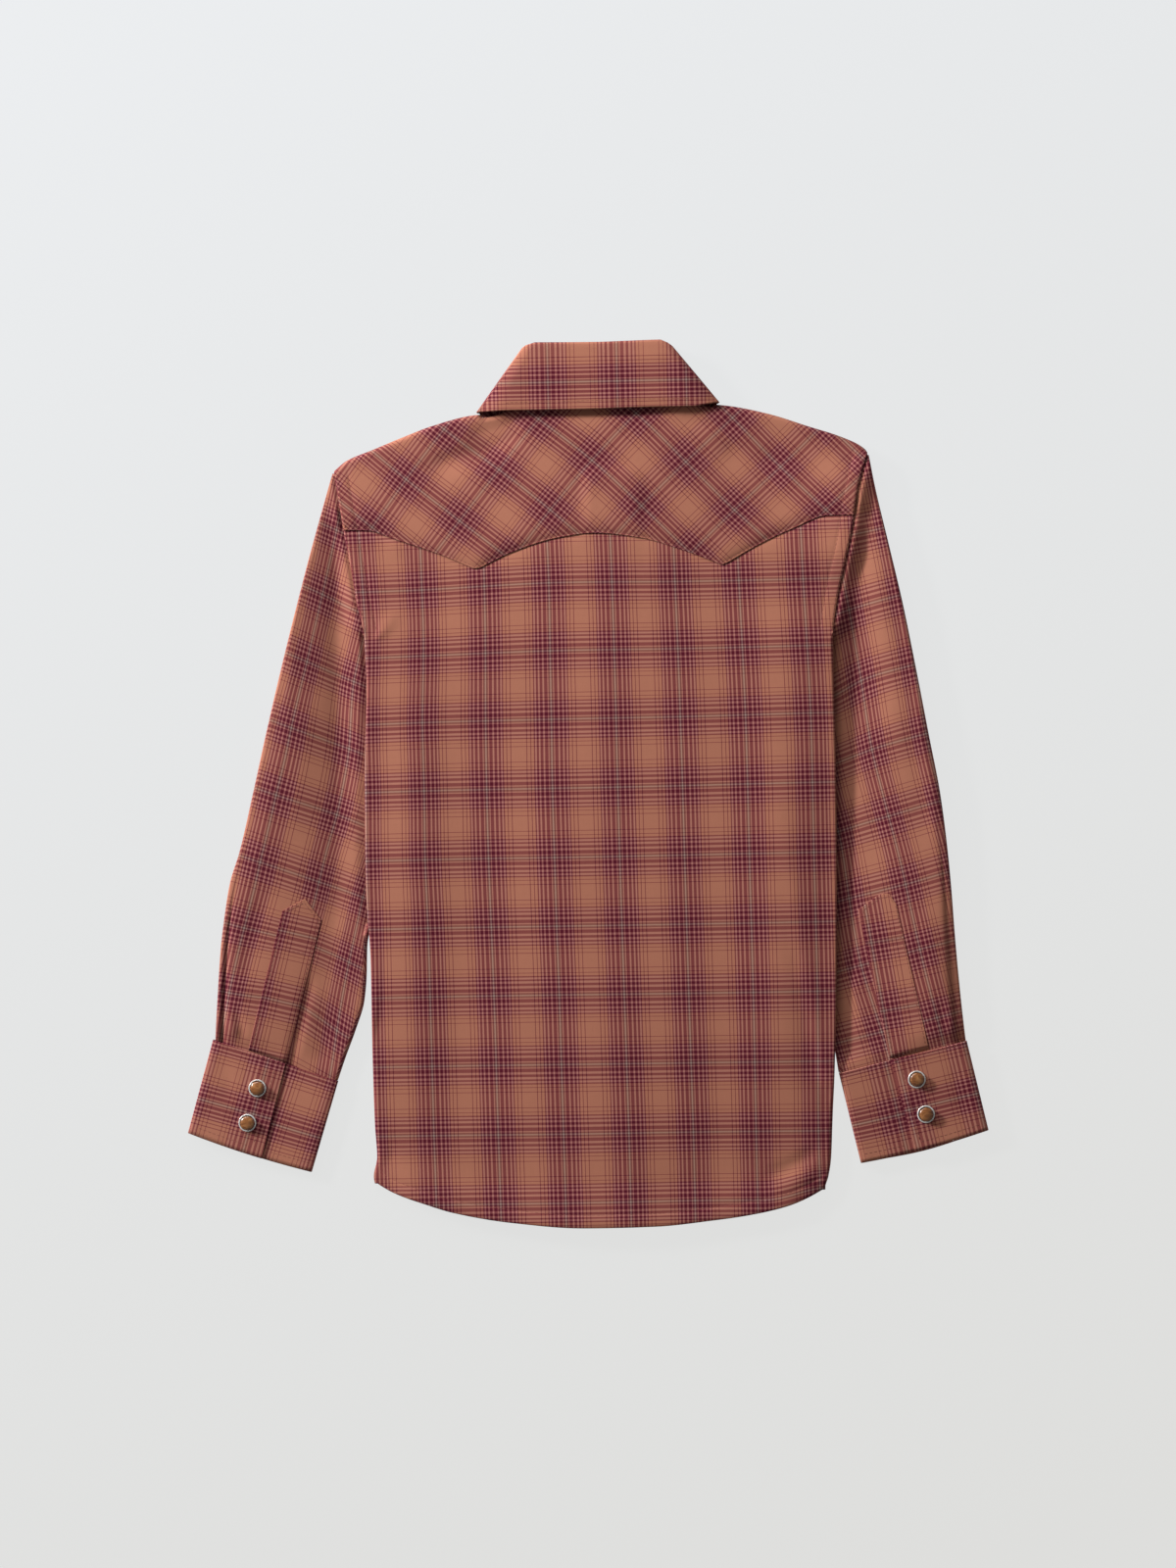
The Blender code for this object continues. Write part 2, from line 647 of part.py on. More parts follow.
def leaf_columns():
    """The collar's columns all round: roll point, edge point and the way out of the face."""
    Column = namedtuple("Column", "roll edge normal height kind place")
    columns = []
    back = [np.array(row, float) for row in LEAF_BACK]
    for side, first, second in (("left", back[0], back[1]), ("right", back[-1], back[-2])):
        slant = first[:2] - first[2:]
        out = np.array((-slant[1], slant[0])) * (1 if side == "left" else -1)
        out /= np.hypot(*out)
        front = [np.array(row, float) for row in LEAF_FRONT[side]]
        down = np.array((0, 0, -1.0))
        made = [
            Column(row[:2], row[2:], down, 0.0, side, k / (len(front) - 1))
            for k, row in reversed(list(enumerate(front)))
        ]
        for angle in arc_angles(-math.pi / 2, math.pi / 2):
            inward = -out * LEAF_FOLD_DEPTH * (1 - math.cos(angle))
            normal = np.array((*(out * math.cos(angle)), math.sin(angle)))
            height = LEAF_TOP * (1 + math.sin(angle)) / 2
            made.append(Column(first[:2] + inward, first[2:] + inward, normal, height, side, -1.0))
        columns.append(made)
    up = np.array((0, 0, 1.0))
    middle = [
        Column(row[:2], row[2:], up, LEAF_TOP, "back", k / (len(back) - 1))
        for k, row in enumerate(back)
        if 0 < k < len(back) - 1
    ]
    return columns[0] + middle + list(reversed(columns[1]))


def leaf_slope(col):
    """The way up along a column of the leaf."""
    return np.array((*(col.roll - col.edge), 0.0)) / np.hypot(*(col.roll - col.edge))


def leaf_face(col, down):
    """A point of the leaf's outer face, by how far down it lies from its roll."""
    start = col.roll - leaf_slope(col)[:2] * LEAF_ROLL
    return np.array((*mix(start, col.edge, down), col.height))


def leaf_roll(col, angle):
    """A point round the roll, from the leaf's outer face at angle 0 to the stand at pi."""
    inward = LEAF_ROLL * (1 - math.cos(angle))
    return leaf_face(col, 0) + leaf_slope(col) * LEAF_ROLL * math.sin(angle) - col.normal * inward


def build_leaf(columns):
    rows = [[leaf_face(col, down) for col in columns] for down in (1, 0.7, 0.35, 0)]
    rows += [[leaf_roll(col, angle) for col in columns] for angle in arc_angles(0, math.pi)[1:]]
    rows.append([leaf_roll(col, math.pi) - leaf_slope(col) * LEAF_TAIL for col in columns])
    return cloth("collar_leaf", [rows], even=False)


def stand_seam(col):
    """Where the outer face of the stand meets the neck seam, for one of its columns."""
    left_neck, right_neck = np.array((-58.6, 229.4)), np.array((73.2, 235.0))
    if col.kind == "back":
        x = mix(left_neck[0], right_neck[0], col.place)
        y = shoulder_y(x) + GAP
        return np.array((x, y, back_top(x, y) + YOKE_LIFT))
    neck = left_neck if col.kind == "left" else right_neck
    sign = 1 if col.kind == "left" else -1
    high = back_top(neck[0], neck[1]) + YOKE_LIFT
    if col.place < 0:
        lift = col.height / LEAF_TOP
        place = (neck[0] + sign * 1.5 * abs(2 * lift - 1), neck[1] - 2.0 + 2.4 * lift)
        return np.array((*place, mix(1.4, high, lift)))
    end = math.acos(-sign * 9.0 / NECK_HALF_WIDTH) / math.pi if col.kind == "left" else 0.5
    start = 0.04 if col.kind == "left" else 0.96
    point = neck_front(mix(start, end, col.place))
    inward = np.array((CENTRE_X, shoulder_y(CENTRE_X))) - point
    x, y = point + inward / np.hypot(*inward) * NECK_EASE
    return np.array((x, y, mix(1.4, BAND_LIFT, col.place)))


def build_stand(columns):
    rows = []
    drop = 2 * LEAF_ROLL - CLOTH
    for share in (0, 0.33, 0.67, 1):
        row = []
        for col in columns:
            top = leaf_face(col, 0) - leaf_slope(col) * (LEAF_TAIL + 2 * GAP) - col.normal * drop
            row.append(mix(top, stand_seam(col), share))
        rows.append(row)
    return cloth("collar_stand", [list(reversed(rows))], even=False)


def sleeve_shape(side):
    """A sleeve's sheet, the same for both its layers, and its top height anywhere."""
    outer, inner = route(SLEEVE_OUTER[side]), route(SLEEVE_INNER[side])
    foot_inner, foot_outer = inner(1), outer(1)
    foot = route([mix(foot_inner, foot_outer, k / 2) for k in range(3)])
    sheet = patch(route(armhole_points(side)), foot, inner, outer)
    sign = 1 if side == "left" else -1
    edge = body_left if side == "left" else body_right
    levels = (ARMHOLE_CORNER_Y, 60, 20, -20, -60, -100, -140, -180, -244)
    body_side = [(edge(y), y) for y in levels]
    body = Outline(body_side + [(CENTRE_X, -244), (CENTRE_X, ARMHOLE_CORNER_Y)])
    levels = (100, 115, 130, 145, 160, 175, 200)
    armhole_side = [(edge(y), y) for y in levels]
    armhole = Outline(armhole_side + [(CENTRE_X, 200), (CENTRE_X, 100)])
    outer, inner = SLEEVE_OUTER[side], SLEEVE_INNER[side]
    outer_edge = Outline(outer + [(x - sign * 0.01, y) for x, y in reversed(outer)])
    inner_edge = Outline(inner + [(x + sign * 0.01, y) for x, y in reversed(inner)])

    def ceiling(x, y):
        """The most height that the body above leaves."""
        out_of_body = soft_step((body.clearance(x, y) - 2) / 18)
        under_body = mix(SLEEVE_UNDER, SLEEVE_CROWN, out_of_body)
        yoke = YOKE_LIFT * soft_step((y - yoke_edge_y(edge(y))) / 6)
        beside = back_top(edge(y), y) + yoke - 0.5
        by_armhole = mix(beside, SLEEVE_CROWN, soft_step(armhole.clearance(x, y) / 14))
        return min(under_body, by_armhole, SLEEVE_CROWN)

    def top_height(x, y):
        inset = min(outer_edge.clearance(x, y), inner_edge.clearance(x, y))
        free = mix(2 * SLEEVE_FOLD, SLEEVE_CROWN, soft_step((inset - SLEEVE_FOLD) / SLEEVE_RISE))
        return min(free, ceiling(x, y))

    return sheet, top_height


def sleeve_shares(side, steps_in, steps_out):
    """Shares across a sleeve's mouth, with steps before and after the corner of the armhole."""
    corner = length_shares(armhole_points(side))[2]
    return [corner * k / steps_in for k in range(1, steps_in + 1)] + [
        mix(corner, 1.0, k / (steps_out + 1)) for k in range(1, steps_out + 1)]


def build_sleeve(side):
    sheet, top_height = sleeve_shape(side)
    pleat = PLEAT[side]
    rows = []
    for step in range(ROWS_DOWN_SLEEVE + 1):
        s = (step / ROWS_DOWN_SLEEVE) ** 1.15
        width = float(np.hypot(*(sheet(s, 1) - sheet(s, 0))))
        row = []

        def fold_radius(t):
            return min(2 * SLEEVE_FOLD, top_height(*sheet(s, t))) / 2

        outer_radius = fold_radius(1 - SLEEVE_FOLD / width)
        inner_radius = fold_radius(SLEEVE_FOLD / width)
        for share in sleeve_shares(side, 2, 3):
            row.append((*sheet(s, share), 0.0))
        for angle in arc_angles(-math.pi / 2, math.pi / 2):
            t = 1 - outer_radius * (1 - math.cos(angle)) / width
            row.append((*sheet(s, t), outer_radius * (1 + math.sin(angle))))
        depth = pleat.depth * soft_step((s - pleat.start) / (0.95 - pleat.start))
        t = 1 - pleat.inset / width
        x, y = sheet(s, t)
        row.append((x, y, top_height(x, y) - depth))
        for share in reversed(sleeve_shares(side, 3, 6)):
            x, y = sheet(s, share)
            row.append((x, y, top_height(x, y)))
        for angle in arc_angles(math.pi / 2, -math.pi / 2):
            t = inner_radius * (1 - math.cos(angle)) / width
            row.append((*sheet(s, t), inner_radius * (1 + math.sin(angle))))
        rows.append(row)
    return cloth("sleeve_" + side, [rows if side == "right" else upside_down(rows)], closed=True)


def build_placket(side):
    """The sleeve placket lies on the sleeve, so its points are the sleeve's own, moved up."""
    _, top_height = sleeve_shape(side)
    shape = PLACKET[side]
    tip, outer, inner, outer_foot, inner_foot = (np.array(p, float) for p in shape[:5])
    rows = []
    for across in (0, 0.25, 0.5, 0.75, 1):
        shoulder = mix(inner, outer, across)
        rise = 1 - abs(2 * across - 1)
        top = shoulder + (tip - mix(inner, outer, 0.5)) * min(1.0, rise * (1 + shape.blunt))
        foot = mix(inner_foot, outer_foot, across)
        line = [mix(top, foot, k / 8) for k in range(9)]
        rows.append([(x, y, top_height(x, y) + PLACKET_GAP + CLOTH) for x, y in line])
    return cloth("sleeve_placket_" + side, [rows if side == "right" else upside_down(rows)])


def build_cuff(side):
    """A cuff is one strip, from its overlap round the outer fold and back up beneath the overlap."""
    cuff = CUFF[side]
    corners = [np.array(p, float) for p in cuff[:4]]
    top_inner, top_outer, low_inner, low_outer = corners
    rows = []
    for down in (0, 0.34, 0.67, 1):
        inner, outer = mix(top_inner, low_inner, down), mix(top_outer, low_outer, down)
        bow = (low_inner - top_inner) / np.hypot(*(low_inner - top_inner)) * cuff.bow * down
        overlap = mix(cuff.overlap_top, cuff.overlap_low, down)
        width = float(np.hypot(*(outer - inner)))
        big, small = CUFF_HEIGHT / 2, CUFF_INNER_HEIGHT / 2
        row = []

        def add(share, height):
            row.append((*(mix(inner, outer, share) + bow * 4 * share * (1 - share)), height))

        for k in range(3):
            add(mix(overlap, 1 - big / width, k / 3), CUFF_HEIGHT)
        for angle in arc_angles(math.pi / 2, -math.pi / 2):
            share = 1 - big * (1 - math.cos(angle)) / width
            add(share, big * (1 + math.sin(angle)))
        for share in (0.66, 0.33):
            add(share, 0.0)
        for angle in arc_angles(-math.pi / 2, math.pi / 2):
            share = small * (1 - math.cos(angle)) / width
            add(share, small * (1 + math.sin(angle)))
        for k in (1, 2, 3):
            add(mix(small / width, overlap + UNDERLAP_SHARE, k / 3), CUFF_INNER_HEIGHT)
        rows.append(row)
    return cloth("cuff_" + side, [rows if side == "left" else upside_down(rows)], wall=CUFF_WALL)


def turned(name, profile, centre, finish):
    """A round piece turned about a vertical line. Radius 0 in the profile makes a pole."""
    bm = bmesh.new()
    rings = []
    for radius, height in profile:
        if radius == 0:
            rings.append([bm.verts.new((centre[0] * MM, centre[1] * MM, height * MM))])
            continue
        ring = []
        for k in range(SNAP_SIDES):
            turn = 2 * math.pi * k / SNAP_SIDES
            x, y = centre[0] + radius * math.cos(turn), centre[1] + radius * math.sin(turn)
            ring.append(bm.verts.new((x * MM, y * MM, height * MM)))
        rings.append(ring)
    pairs = list(zip(rings, rings[1:]))
    if len(rings[0]) > 1:
        pairs.append((rings[-1], rings[0]))
    for a, b in pairs:
        for k in range(SNAP_SIDES):
            n = (k + 1) % SNAP_SIDES
            corners = [a[k % len(a)], a[n % len(a)], b[n % len(b)], b[k % len(b)]]
            bm.faces.new(list(dict.fromkeys(corners)))
    bmesh.ops.recalc_face_normals(bm, faces=bm.faces)
    return add_object(name, bm, finish)


def build_cuff_snaps(side):
    base = CUFF_HEIGHT + GAP
    for k, centre in enumerate(CUFF_SNAPS[side]):
        name = f"{side}_{k + 1}"
        ring = [
            (SNAP_RING_INNER, base),
            (SNAP_RING_OUTER, base),
            (SNAP_RING_OUTER, base + 0.7),
            (SNAP_RING_OUTER - 0.35, base + 1.3),
            (SNAP_RING_INNER, base + 1.2),
        ]
        turned("cuff_snap_ring_" + name, ring, centre, SILVER)
        cap = [
            (0, base),
            (SNAP_CAP_RADIUS, base),
            (SNAP_CAP_RADIUS, base + 1.0),
            (SNAP_CAP_RADIUS * 0.8, base + 1.7),
            (SNAP_CAP_RADIUS * 0.4, base + 2.1),
            (0, base + 2.25),
        ]
        turned("cuff_snap_cap_" + name, cap, centre, PEARL)


def build_front_snaps():
    top = BAND_LIFT - GAP
    for k, y in enumerate(FRONT_SNAP_Y):
        rim, dome, middle = (FRONT_SNAP_RADIUS * share for share in (1.0, 0.75, 0.5))
        profile = [(0, top), (rim, top), (rim, 0.9), (dome, 0.2), (middle, 0), (0, 0)]
        turned(f"front_snap_{k + 1}", profile, (CENTRE_X, y), PEARL)


def build():
    for old in list(bpy.data.objects):
        bpy.data.objects.remove(old)
    build_back()
    build_yoke()
    for side in ("left", "right"):
        build_front(side)
        build_sleeve(side)
        build_placket(side)
        build_cuff(side)
        build_cuff_snaps(side)
    build_band()
    columns = leaf_columns()
    build_leaf(columns)
    build_stand(columns)
    build_front_snaps()


build()
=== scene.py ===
"""The looks of a child's western snap shirt, laid flat on its front with its back up.

Tables and sizes are in millimetres, and every mesh is in metres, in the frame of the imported
model: +X to the right as the back is seen, +Y from the hem to the collar, +Z up.
"""

import math
from collections import namedtuple

import bmesh
import bpy
import mathutils
import numpy as np
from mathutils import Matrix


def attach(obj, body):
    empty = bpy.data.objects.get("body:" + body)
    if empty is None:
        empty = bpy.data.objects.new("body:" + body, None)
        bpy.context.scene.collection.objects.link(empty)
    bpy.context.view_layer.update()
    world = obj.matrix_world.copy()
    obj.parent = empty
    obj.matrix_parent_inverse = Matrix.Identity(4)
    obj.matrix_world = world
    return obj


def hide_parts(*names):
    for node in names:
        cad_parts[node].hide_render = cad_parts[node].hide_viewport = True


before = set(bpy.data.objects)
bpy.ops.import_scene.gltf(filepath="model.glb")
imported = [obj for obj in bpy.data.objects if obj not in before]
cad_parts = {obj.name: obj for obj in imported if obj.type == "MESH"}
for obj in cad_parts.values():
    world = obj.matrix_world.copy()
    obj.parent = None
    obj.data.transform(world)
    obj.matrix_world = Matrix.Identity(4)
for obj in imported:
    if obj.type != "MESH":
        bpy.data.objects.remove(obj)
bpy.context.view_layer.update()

MM = 0.001
SIDES = ("left", "right")
INWARD = {"left": 1, "right": -1}  # the way along X from a side's edge towards the shirt's middle
QUARTER = math.pi / 2
FAR = 300.0  # beyond all of the shirt
CLOTH = 1.0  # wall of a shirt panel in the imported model, which sets how high the layers lie
WALL = 0.75  # wall of a shirt panel here
YOKE_WALL = 0.45
CUFF_LAYER = 1.0
GAP = 0.3
AIR = 0.4  # between layers that lie loosely on each other
WELD = 0.00001  # metres within which the grids of one piece are joined
FOLD_STEPS = 8
WARP_REPEAT, WEFT_REPEAT = 39.9, 42.3  # the plaid's repeats across the warp and across the weft

CENTRE_X = 7.6
BACK_WIDTH, YOKE_WIDTH = 298.0, 320.0
UNDERARM_Y, ARMHOLE_CORNER_Y = 88.0, 90.0
ARMHOLE_SEAM = 8.0  # the armhole is stitched this far in from its edge
SIDE_FOLD_RUN = 7.0  # over this length above the underarm, the side folds grow to their full size
SIDE_SEAM_IN = 18.0
SIDE_HEM_Y, SIDE_HEM_RUN = -226.0, 12.0  # the hem's side corners start here and are whole so much lower
YOKE_LAP = 7.0
YOKE_LIFT = CLOTH + GAP
YOKE_EDGE_LIFT = 0.55  # the yoke is sewn down along its lower edge
YOKE_STITCH_IN = 1.5
YOKE_PRESS, YOKE_PRESS_WIDTH = 0.3, 2.2  # the dent that pressing leaves along the yoke's lower edge
YOKE_NECK = (0.298, 0.704)  # shares of the yoke's width between which the neck lies
SHOULDER_DROP = 25.0
HEM_RISE, HEM_SIDE_RISE = 3.0, 9.0
HEM_FOLD = 8.0  # the hem is stitched this far above its edge
HEM_CURL, HEM_CURL_RUN = 2.2, 30.0  # the hem's edge turns up by so much, over so much of the back
HEM_TURN_UP = 7.0  # the plaid lies this much higher at the hem's right corner

# Body: y, left edge, right edge, then the height of the back along five lines across it.
BODY = [
    (-246, -130.6, 145.4, 3.8, 4.2, 6.1, 4.4, 4.0), (-240.5, -131.5, 147.2, 3.9, 4.3, 6.1, 4.5, 4.2),
    (-229, -129.4, 148.9, 4.0, 4.5, 6.1, 4.7, 4.4), (-210, -130.7, 149.6, 4.2, 4.7, 6.1, 4.9, 4.7),
    (-170, -132.1, 151.0, 4.8, 5.0, 6.1, 5.2, 5.0), (-110, -133.2, 152.1, 5.8, 5.4, 6.1, 5.6, 5.6),
    (-60, -136.3, 152.2, 6.3, 5.6, 6.2, 6.0, 6.2), (0, -136.9, 151.8, 6.6, 5.6, 6.2, 6.2, 6.8),
    (60, -135.8, 150.4, 6.8, 5.6, 6.2, 6.2, 7.2), (90, -137.2, 149.8, 6.6, 5.5, 6.2, 6.0, 7.6),
    (112, -141.8, 152.3, 5.9, 5.3, 6.1, 5.6, 6.6), (135, -145.8, 156.9, 5.5, 5.1, 6.1, 5.2, 5.9),
    (157, -150.1, 161.4, 5.2, 4.9, 5.8, 4.9, 5.4), (180, -153.8, 164.6, 4.8, 4.7, 5.2, 4.7, 4.9),
    (205, -157.6, 171.2, 4.5, 4.5, 4.9, 4.5, 4.6), (240, -163.0, 178.0, 4.5, 4.5, 4.8, 4.5, 4.6),
]
ACROSS = (0.0, 0.24, 0.5, 0.76, 1.0)
# The yoke's lower edge in three soft curves, which meet in its two points.
YOKE_EDGE = [
    [(-160, 155.4), (-135.8, 155.1), (-117.8, 149.6), (-90.0, 140.2), (-68.5, 131.2)],
    [(-68.5, 131.2), (-45.8, 142.2), (-18.0, 150.8), (4.0, 153.6), (32.0, 150.6), (57.5, 143.4),
     (82.6, 134.0)],
    [(82.6, 134.0), (103.0, 145.8), (125.8, 156.6), (146.0, 164.2), (180, 164.8)],
]
NECK_X = {"left": -60.0, "right": 74.6}  # where the neck meets the shoulders' folds
SHOULDER = [
    (-156.2, 191.2), (-148.4, 197.8), (-131.5, 205.0), (-114.2, 212.2), (-95.6, 219.4), (-71.0, 225.8),
    (-60.0, 226.8), (-30.0, 233.2), (8.0, 236.0), (46.0, 236.4), (74.6, 232.8), (88.0, 231.4),
    (111.4, 226.6), (134.2, 219.4), (156.4, 212.2), (169.6, 205.0), (171.4, 202.4),
]
HEM = [
    (-135.0, -239.0), (-131.4, -241.6), (-129.8, -244.0), (-125.6, -247.0), (-118.9, -250.6),
    (-99.8, -257.4), (-82.6, -262.6), (-47.2, -268.6), (-4.3, -271.8), (41.2, -270.8), (76.0, -267.2),
    (98.2, -264.0), (122.2, -258.4), (145.2, -247.4), (150.0, -243.5),
]
NECK_HALF_WIDTH, NECK_DEPTH, NECK_DROP, NECK_TILT, NECK_EASE = 67.2, 60.0, 6.2, 0.045, 0.9
BAND_TOP_Y, BAND_FOOT_Y = 180.0, -290.0
BAND_WIDTH, BAND_LIFT, UNDERLAP = 26.0, 2.4, 11.0
FRONT_SNAP_Y, FRONT_SNAP_Z = (182.0, 138.0, 70.0, 2.0, -66.0, -134.0, -202.0), 2.2

SLEEVE_UNDER, SLEEVE_INNER_FOLD, ARMHOLE_GAP = 3.2, 2.2, 0.45
SLEEVE_LIMIT = 9.0  # higher than a sleeve ever lies
# A sleeve is full along its outer fold and falls to a soft valley beside the body.
SLEEVE_CREST, CREST_SLOPE = 8.3, 0.135
# Heights of the valley, of its rise towards the shoulder and of the strip beside the body; how far in the
# crest begins; radius of the outer fold and the share of it that it reaches out; how far the sleeve's head
# puffs above the body, and the length over which that dies away.
Fullness = namedtuple("Fullness", "valley top_rise strip_rise crest_inset fold squash puff head_run")
FULLNESS = {
    "left": Fullness(3.1, 0.0, 1.1, 12.0, 3.9, 0.3, -0.5, 10.0),
    "right": Fullness(2.1, 2.6, 0.0, 5.0, 4.0, 0.3, -0.3, 12.0),
}
SEWN_IN = 2.4  # the sleeve's mouth runs in under the body by this much
CUFF_TAPER = 12.0  # the sleeve comes down to the cuff over this length
VALLEY_LINE = {
    "left": [(-180, -166.0), (-140, -160.5), (-100, -155.5), (-60, -154.3), (60, -154.3), (200, -156.0)],
    "right": [(-180, 155.0), (-153, 155.5), (-107, 157.5), (-68, 159.5), (-10, 162.5), (40, 166.0),
              (200, 168.5)],
}
SLEEVE_OUTER = {
    "left": [
        (-156.7, 190.2), (-161.6, 173.0), (-171.2, 138.0), (-180.4, 102.0), (-189.2, 66.0), (-197.5, 30.0),
        (-205.4, -6.0), (-213.7, -42.0), (-219.3, -60.0), (-222.6, -80.0), (-225.0, -100.0), (-227.0, -130.0),
        (-228.5, -156.6),
    ],
    "right": [
        (171.8, 201.6), (174.8, 186.0), (184.0, 147.0), (192.4, 111.6), (201.4, 67.4), (209.0, 28.0),
        (215.4, -4.8), (219.6, -36.0), (222.4, -64.0), (224.5, -91.2), (227.0, -118.8), (230.3, -149.0),
        (231.4, -156.9),
    ],
}
SLEEVE_INNER = {
    "left": [
        (-104.0, 74.0), (-104.5, 40.0), (-109.0, 0.0), (-119.0, -40.0), (-130.0, -76.0), (-135.4, -100.0),
        (-135.8, -118.0), (-137.2, -133.0), (-142.4, -150.4), (-149.0, -168.4), (-153.4, -181.6),
    ],
    "right": [
        (118.0, 76.0), (118.5, 40.0), (121.5, 0.0), (128.0, -45.0), (136.0, -90.0), (145.0, -132.0),
        (151.2, -163.0), (153.4, -176.6),
    ],
}
LIP = {"left": (-121.0, 82.0), "right": (134.0, 83.0)}

# A pleat along the outer fold above each cuff: how far in it lies, its depth, the share of the sleeve's
# length at which it starts, and how far the fold outside it sinks with it.
Pleat = namedtuple("Pleat", "inset depth start drop")
PLEAT = {"left": Pleat(4.4, 2.0, 0.68, 0.0), "right": Pleat(4.8, 2.0, 0.55, 0.85)}
# Across a pleat: where each place lies as a share of the inset, and how deep the pleat is there.
PLEAT_STEPS = (0.7, 0.85, 1.0, 1.12, 1.3, 1.8)
PLEAT_DIPS = (0.1, 0.55, 1.0, 0.75, 0.3, 0.05)

# A cuff's four corners, the shares across it of the overlap's edge at top and foot, and the bow of its foot.
Cuff = namedtuple("Cuff", "top_inner top_outer low_inner low_outer overlap_top overlap_low bow")
CUFF = {
    "left": Cuff((-153.2, -182.1), (-229.9, -156.6), (-169.4, -237.7), (-245.25, -213.6), 0.42, 0.40, 1.3),
    "right": Cuff((153.6, -177.1), (231.9, -157.2), (167.1, -232.2), (245.25, -211.8), 0.40, 0.42, 1.6),
}
UNDERLAP_SHARE, CUFF_INNER_HEIGHT, CUFF_HEIGHT = 0.32, 4.4, 5.9
CUFF_SQUASH = 0.45  # a cuff's side folds reach out by this share of their radius
CUFF_EDGE_DROP = {"left": 0.4, "right": 0.7}  # the edge of the overlap sinks by this much
CUFF_MOUTH = {"left": 0.2, "right": 1.1}  # the under layer shows this far below the upper one
CUFF_SNAPS = {"left": [(-202.5, -186.2), (-208.6, -207.4)], "right": [(201.1, -180.8), (206.7, -202.1)]}
# Cuffs are cut along their length: where the pale lines cross on top, and the way they run.
CUFF_GRAIN = {"left": ((-205.0, -202.0), -15.5), "right": ((196.4, -199.4), 13.5)}

# A placket's point, its shoulders and feet, and how far the point is rounded off: 0 leaves it sharp.
Placket = namedtuple("Placket", "tip outer_shoulder inner_shoulder outer_foot inner_foot blunt")
PLACKET = {
    "left": Placket((-173.5, -70.2), (-187.0, -77.6), (-163.4, -83.4), (-208.0, -163.0),
                    (-184.0, -170.8), 0.0),
    "right": Placket((181.0, -67.2), (188.4, -73.6), (165.4, -77.0), (208.4, -161.8),
                     (184.6, -167.8), 0.35),
}
PLACKET_LIFT, PLACKET_WALL = 0.22, 0.3
PLACKET_BOX = {"left": [(-190.4, -100.2), (-170.9, -104.4)], "right": [(169.6, -97.8), (192.4, -93.6)]}
PLACKET_GRAIN = {"left": ((-166.0, -138.4), -13.5), "right": ((180.8, -138.8), 10.0)}

RING_RADIUS, RING_HEIGHT, RING_LIP, RING_GROOVE = 5.4, 1.1, 0.95, 0.75
CAP_RADIUS, CAP_HEIGHT, CAP_FOOT = 4.15, 1.75, 0.5
STITCH_LENGTH, STITCH_GAP, STITCH_RADIUS = 2.3, 0.6, 0.12
COLLAR_STITCH_IN = 5.5

LEAF_TOP, LEAF_ROLL, LEAF_TAIL, LEAF_FOLD_DEPTH, LEAF_FOLD_GIRTH = 9.8, 1.7, 1.5, 1.1, 11.0
LEAF_EDGE_FALL, LEAF_CORNER_FALL = 0.5, 1.4  # the leaf's edge and lower corners sink towards the yoke
LEAF_GRAIN = (17.6, 246.3), 1.2  # where pale lines cross on the collar, and the way it is turned
# Collar leaf: roll x, roll y, edge x, edge y.
LEAF_BACK = [
    (-40.0, 267.7, -68.6, 227.5), (-33.0, 270.1, -54.0, 228.2), (-10.0, 270.2, -22.0, 228.7),
    (6.0, 270.4, 6.0, 229.3), (22.0, 271.0, 36.0, 230.4), (44.5, 271.8, 66.0, 231.0),
    (50.8, 269.0, 80.4, 233.7),
]
LEAF_FRONT = {
    "left": [(-34.0, 262.0, -62.0, 222.0), (-30.0, 243.0, -59.0, 203.0), (-22.0, 222.0, -52.0, 183.0),
             (-10.0, 205.0, -43.0, 165.0), (3.6, 197.0, -33.0, 150.0)],
    "right": [(46.0, 264.0, 75.5, 227.0), (43.0, 245.0, 73.5, 206.0), (36.0, 223.0, 67.0, 185.0),
              (25.0, 206.0, 58.5, 166.0), (11.6, 197.0, 48.5, 151.0)],
}
STAND_NECK = {"left": (-58.6, 229.4), "right": (73.2, 235.0)}  # where the stand meets the shoulders
# Along the neck's front curve, from the shoulder to where the stand ends.
STAND_FRONT = {"left": (0.04, math.acos(-9.0 / NECK_HALF_WIDTH) / math.pi), "right": (0.96, 0.5)}
STAND_FOOT = 1.4

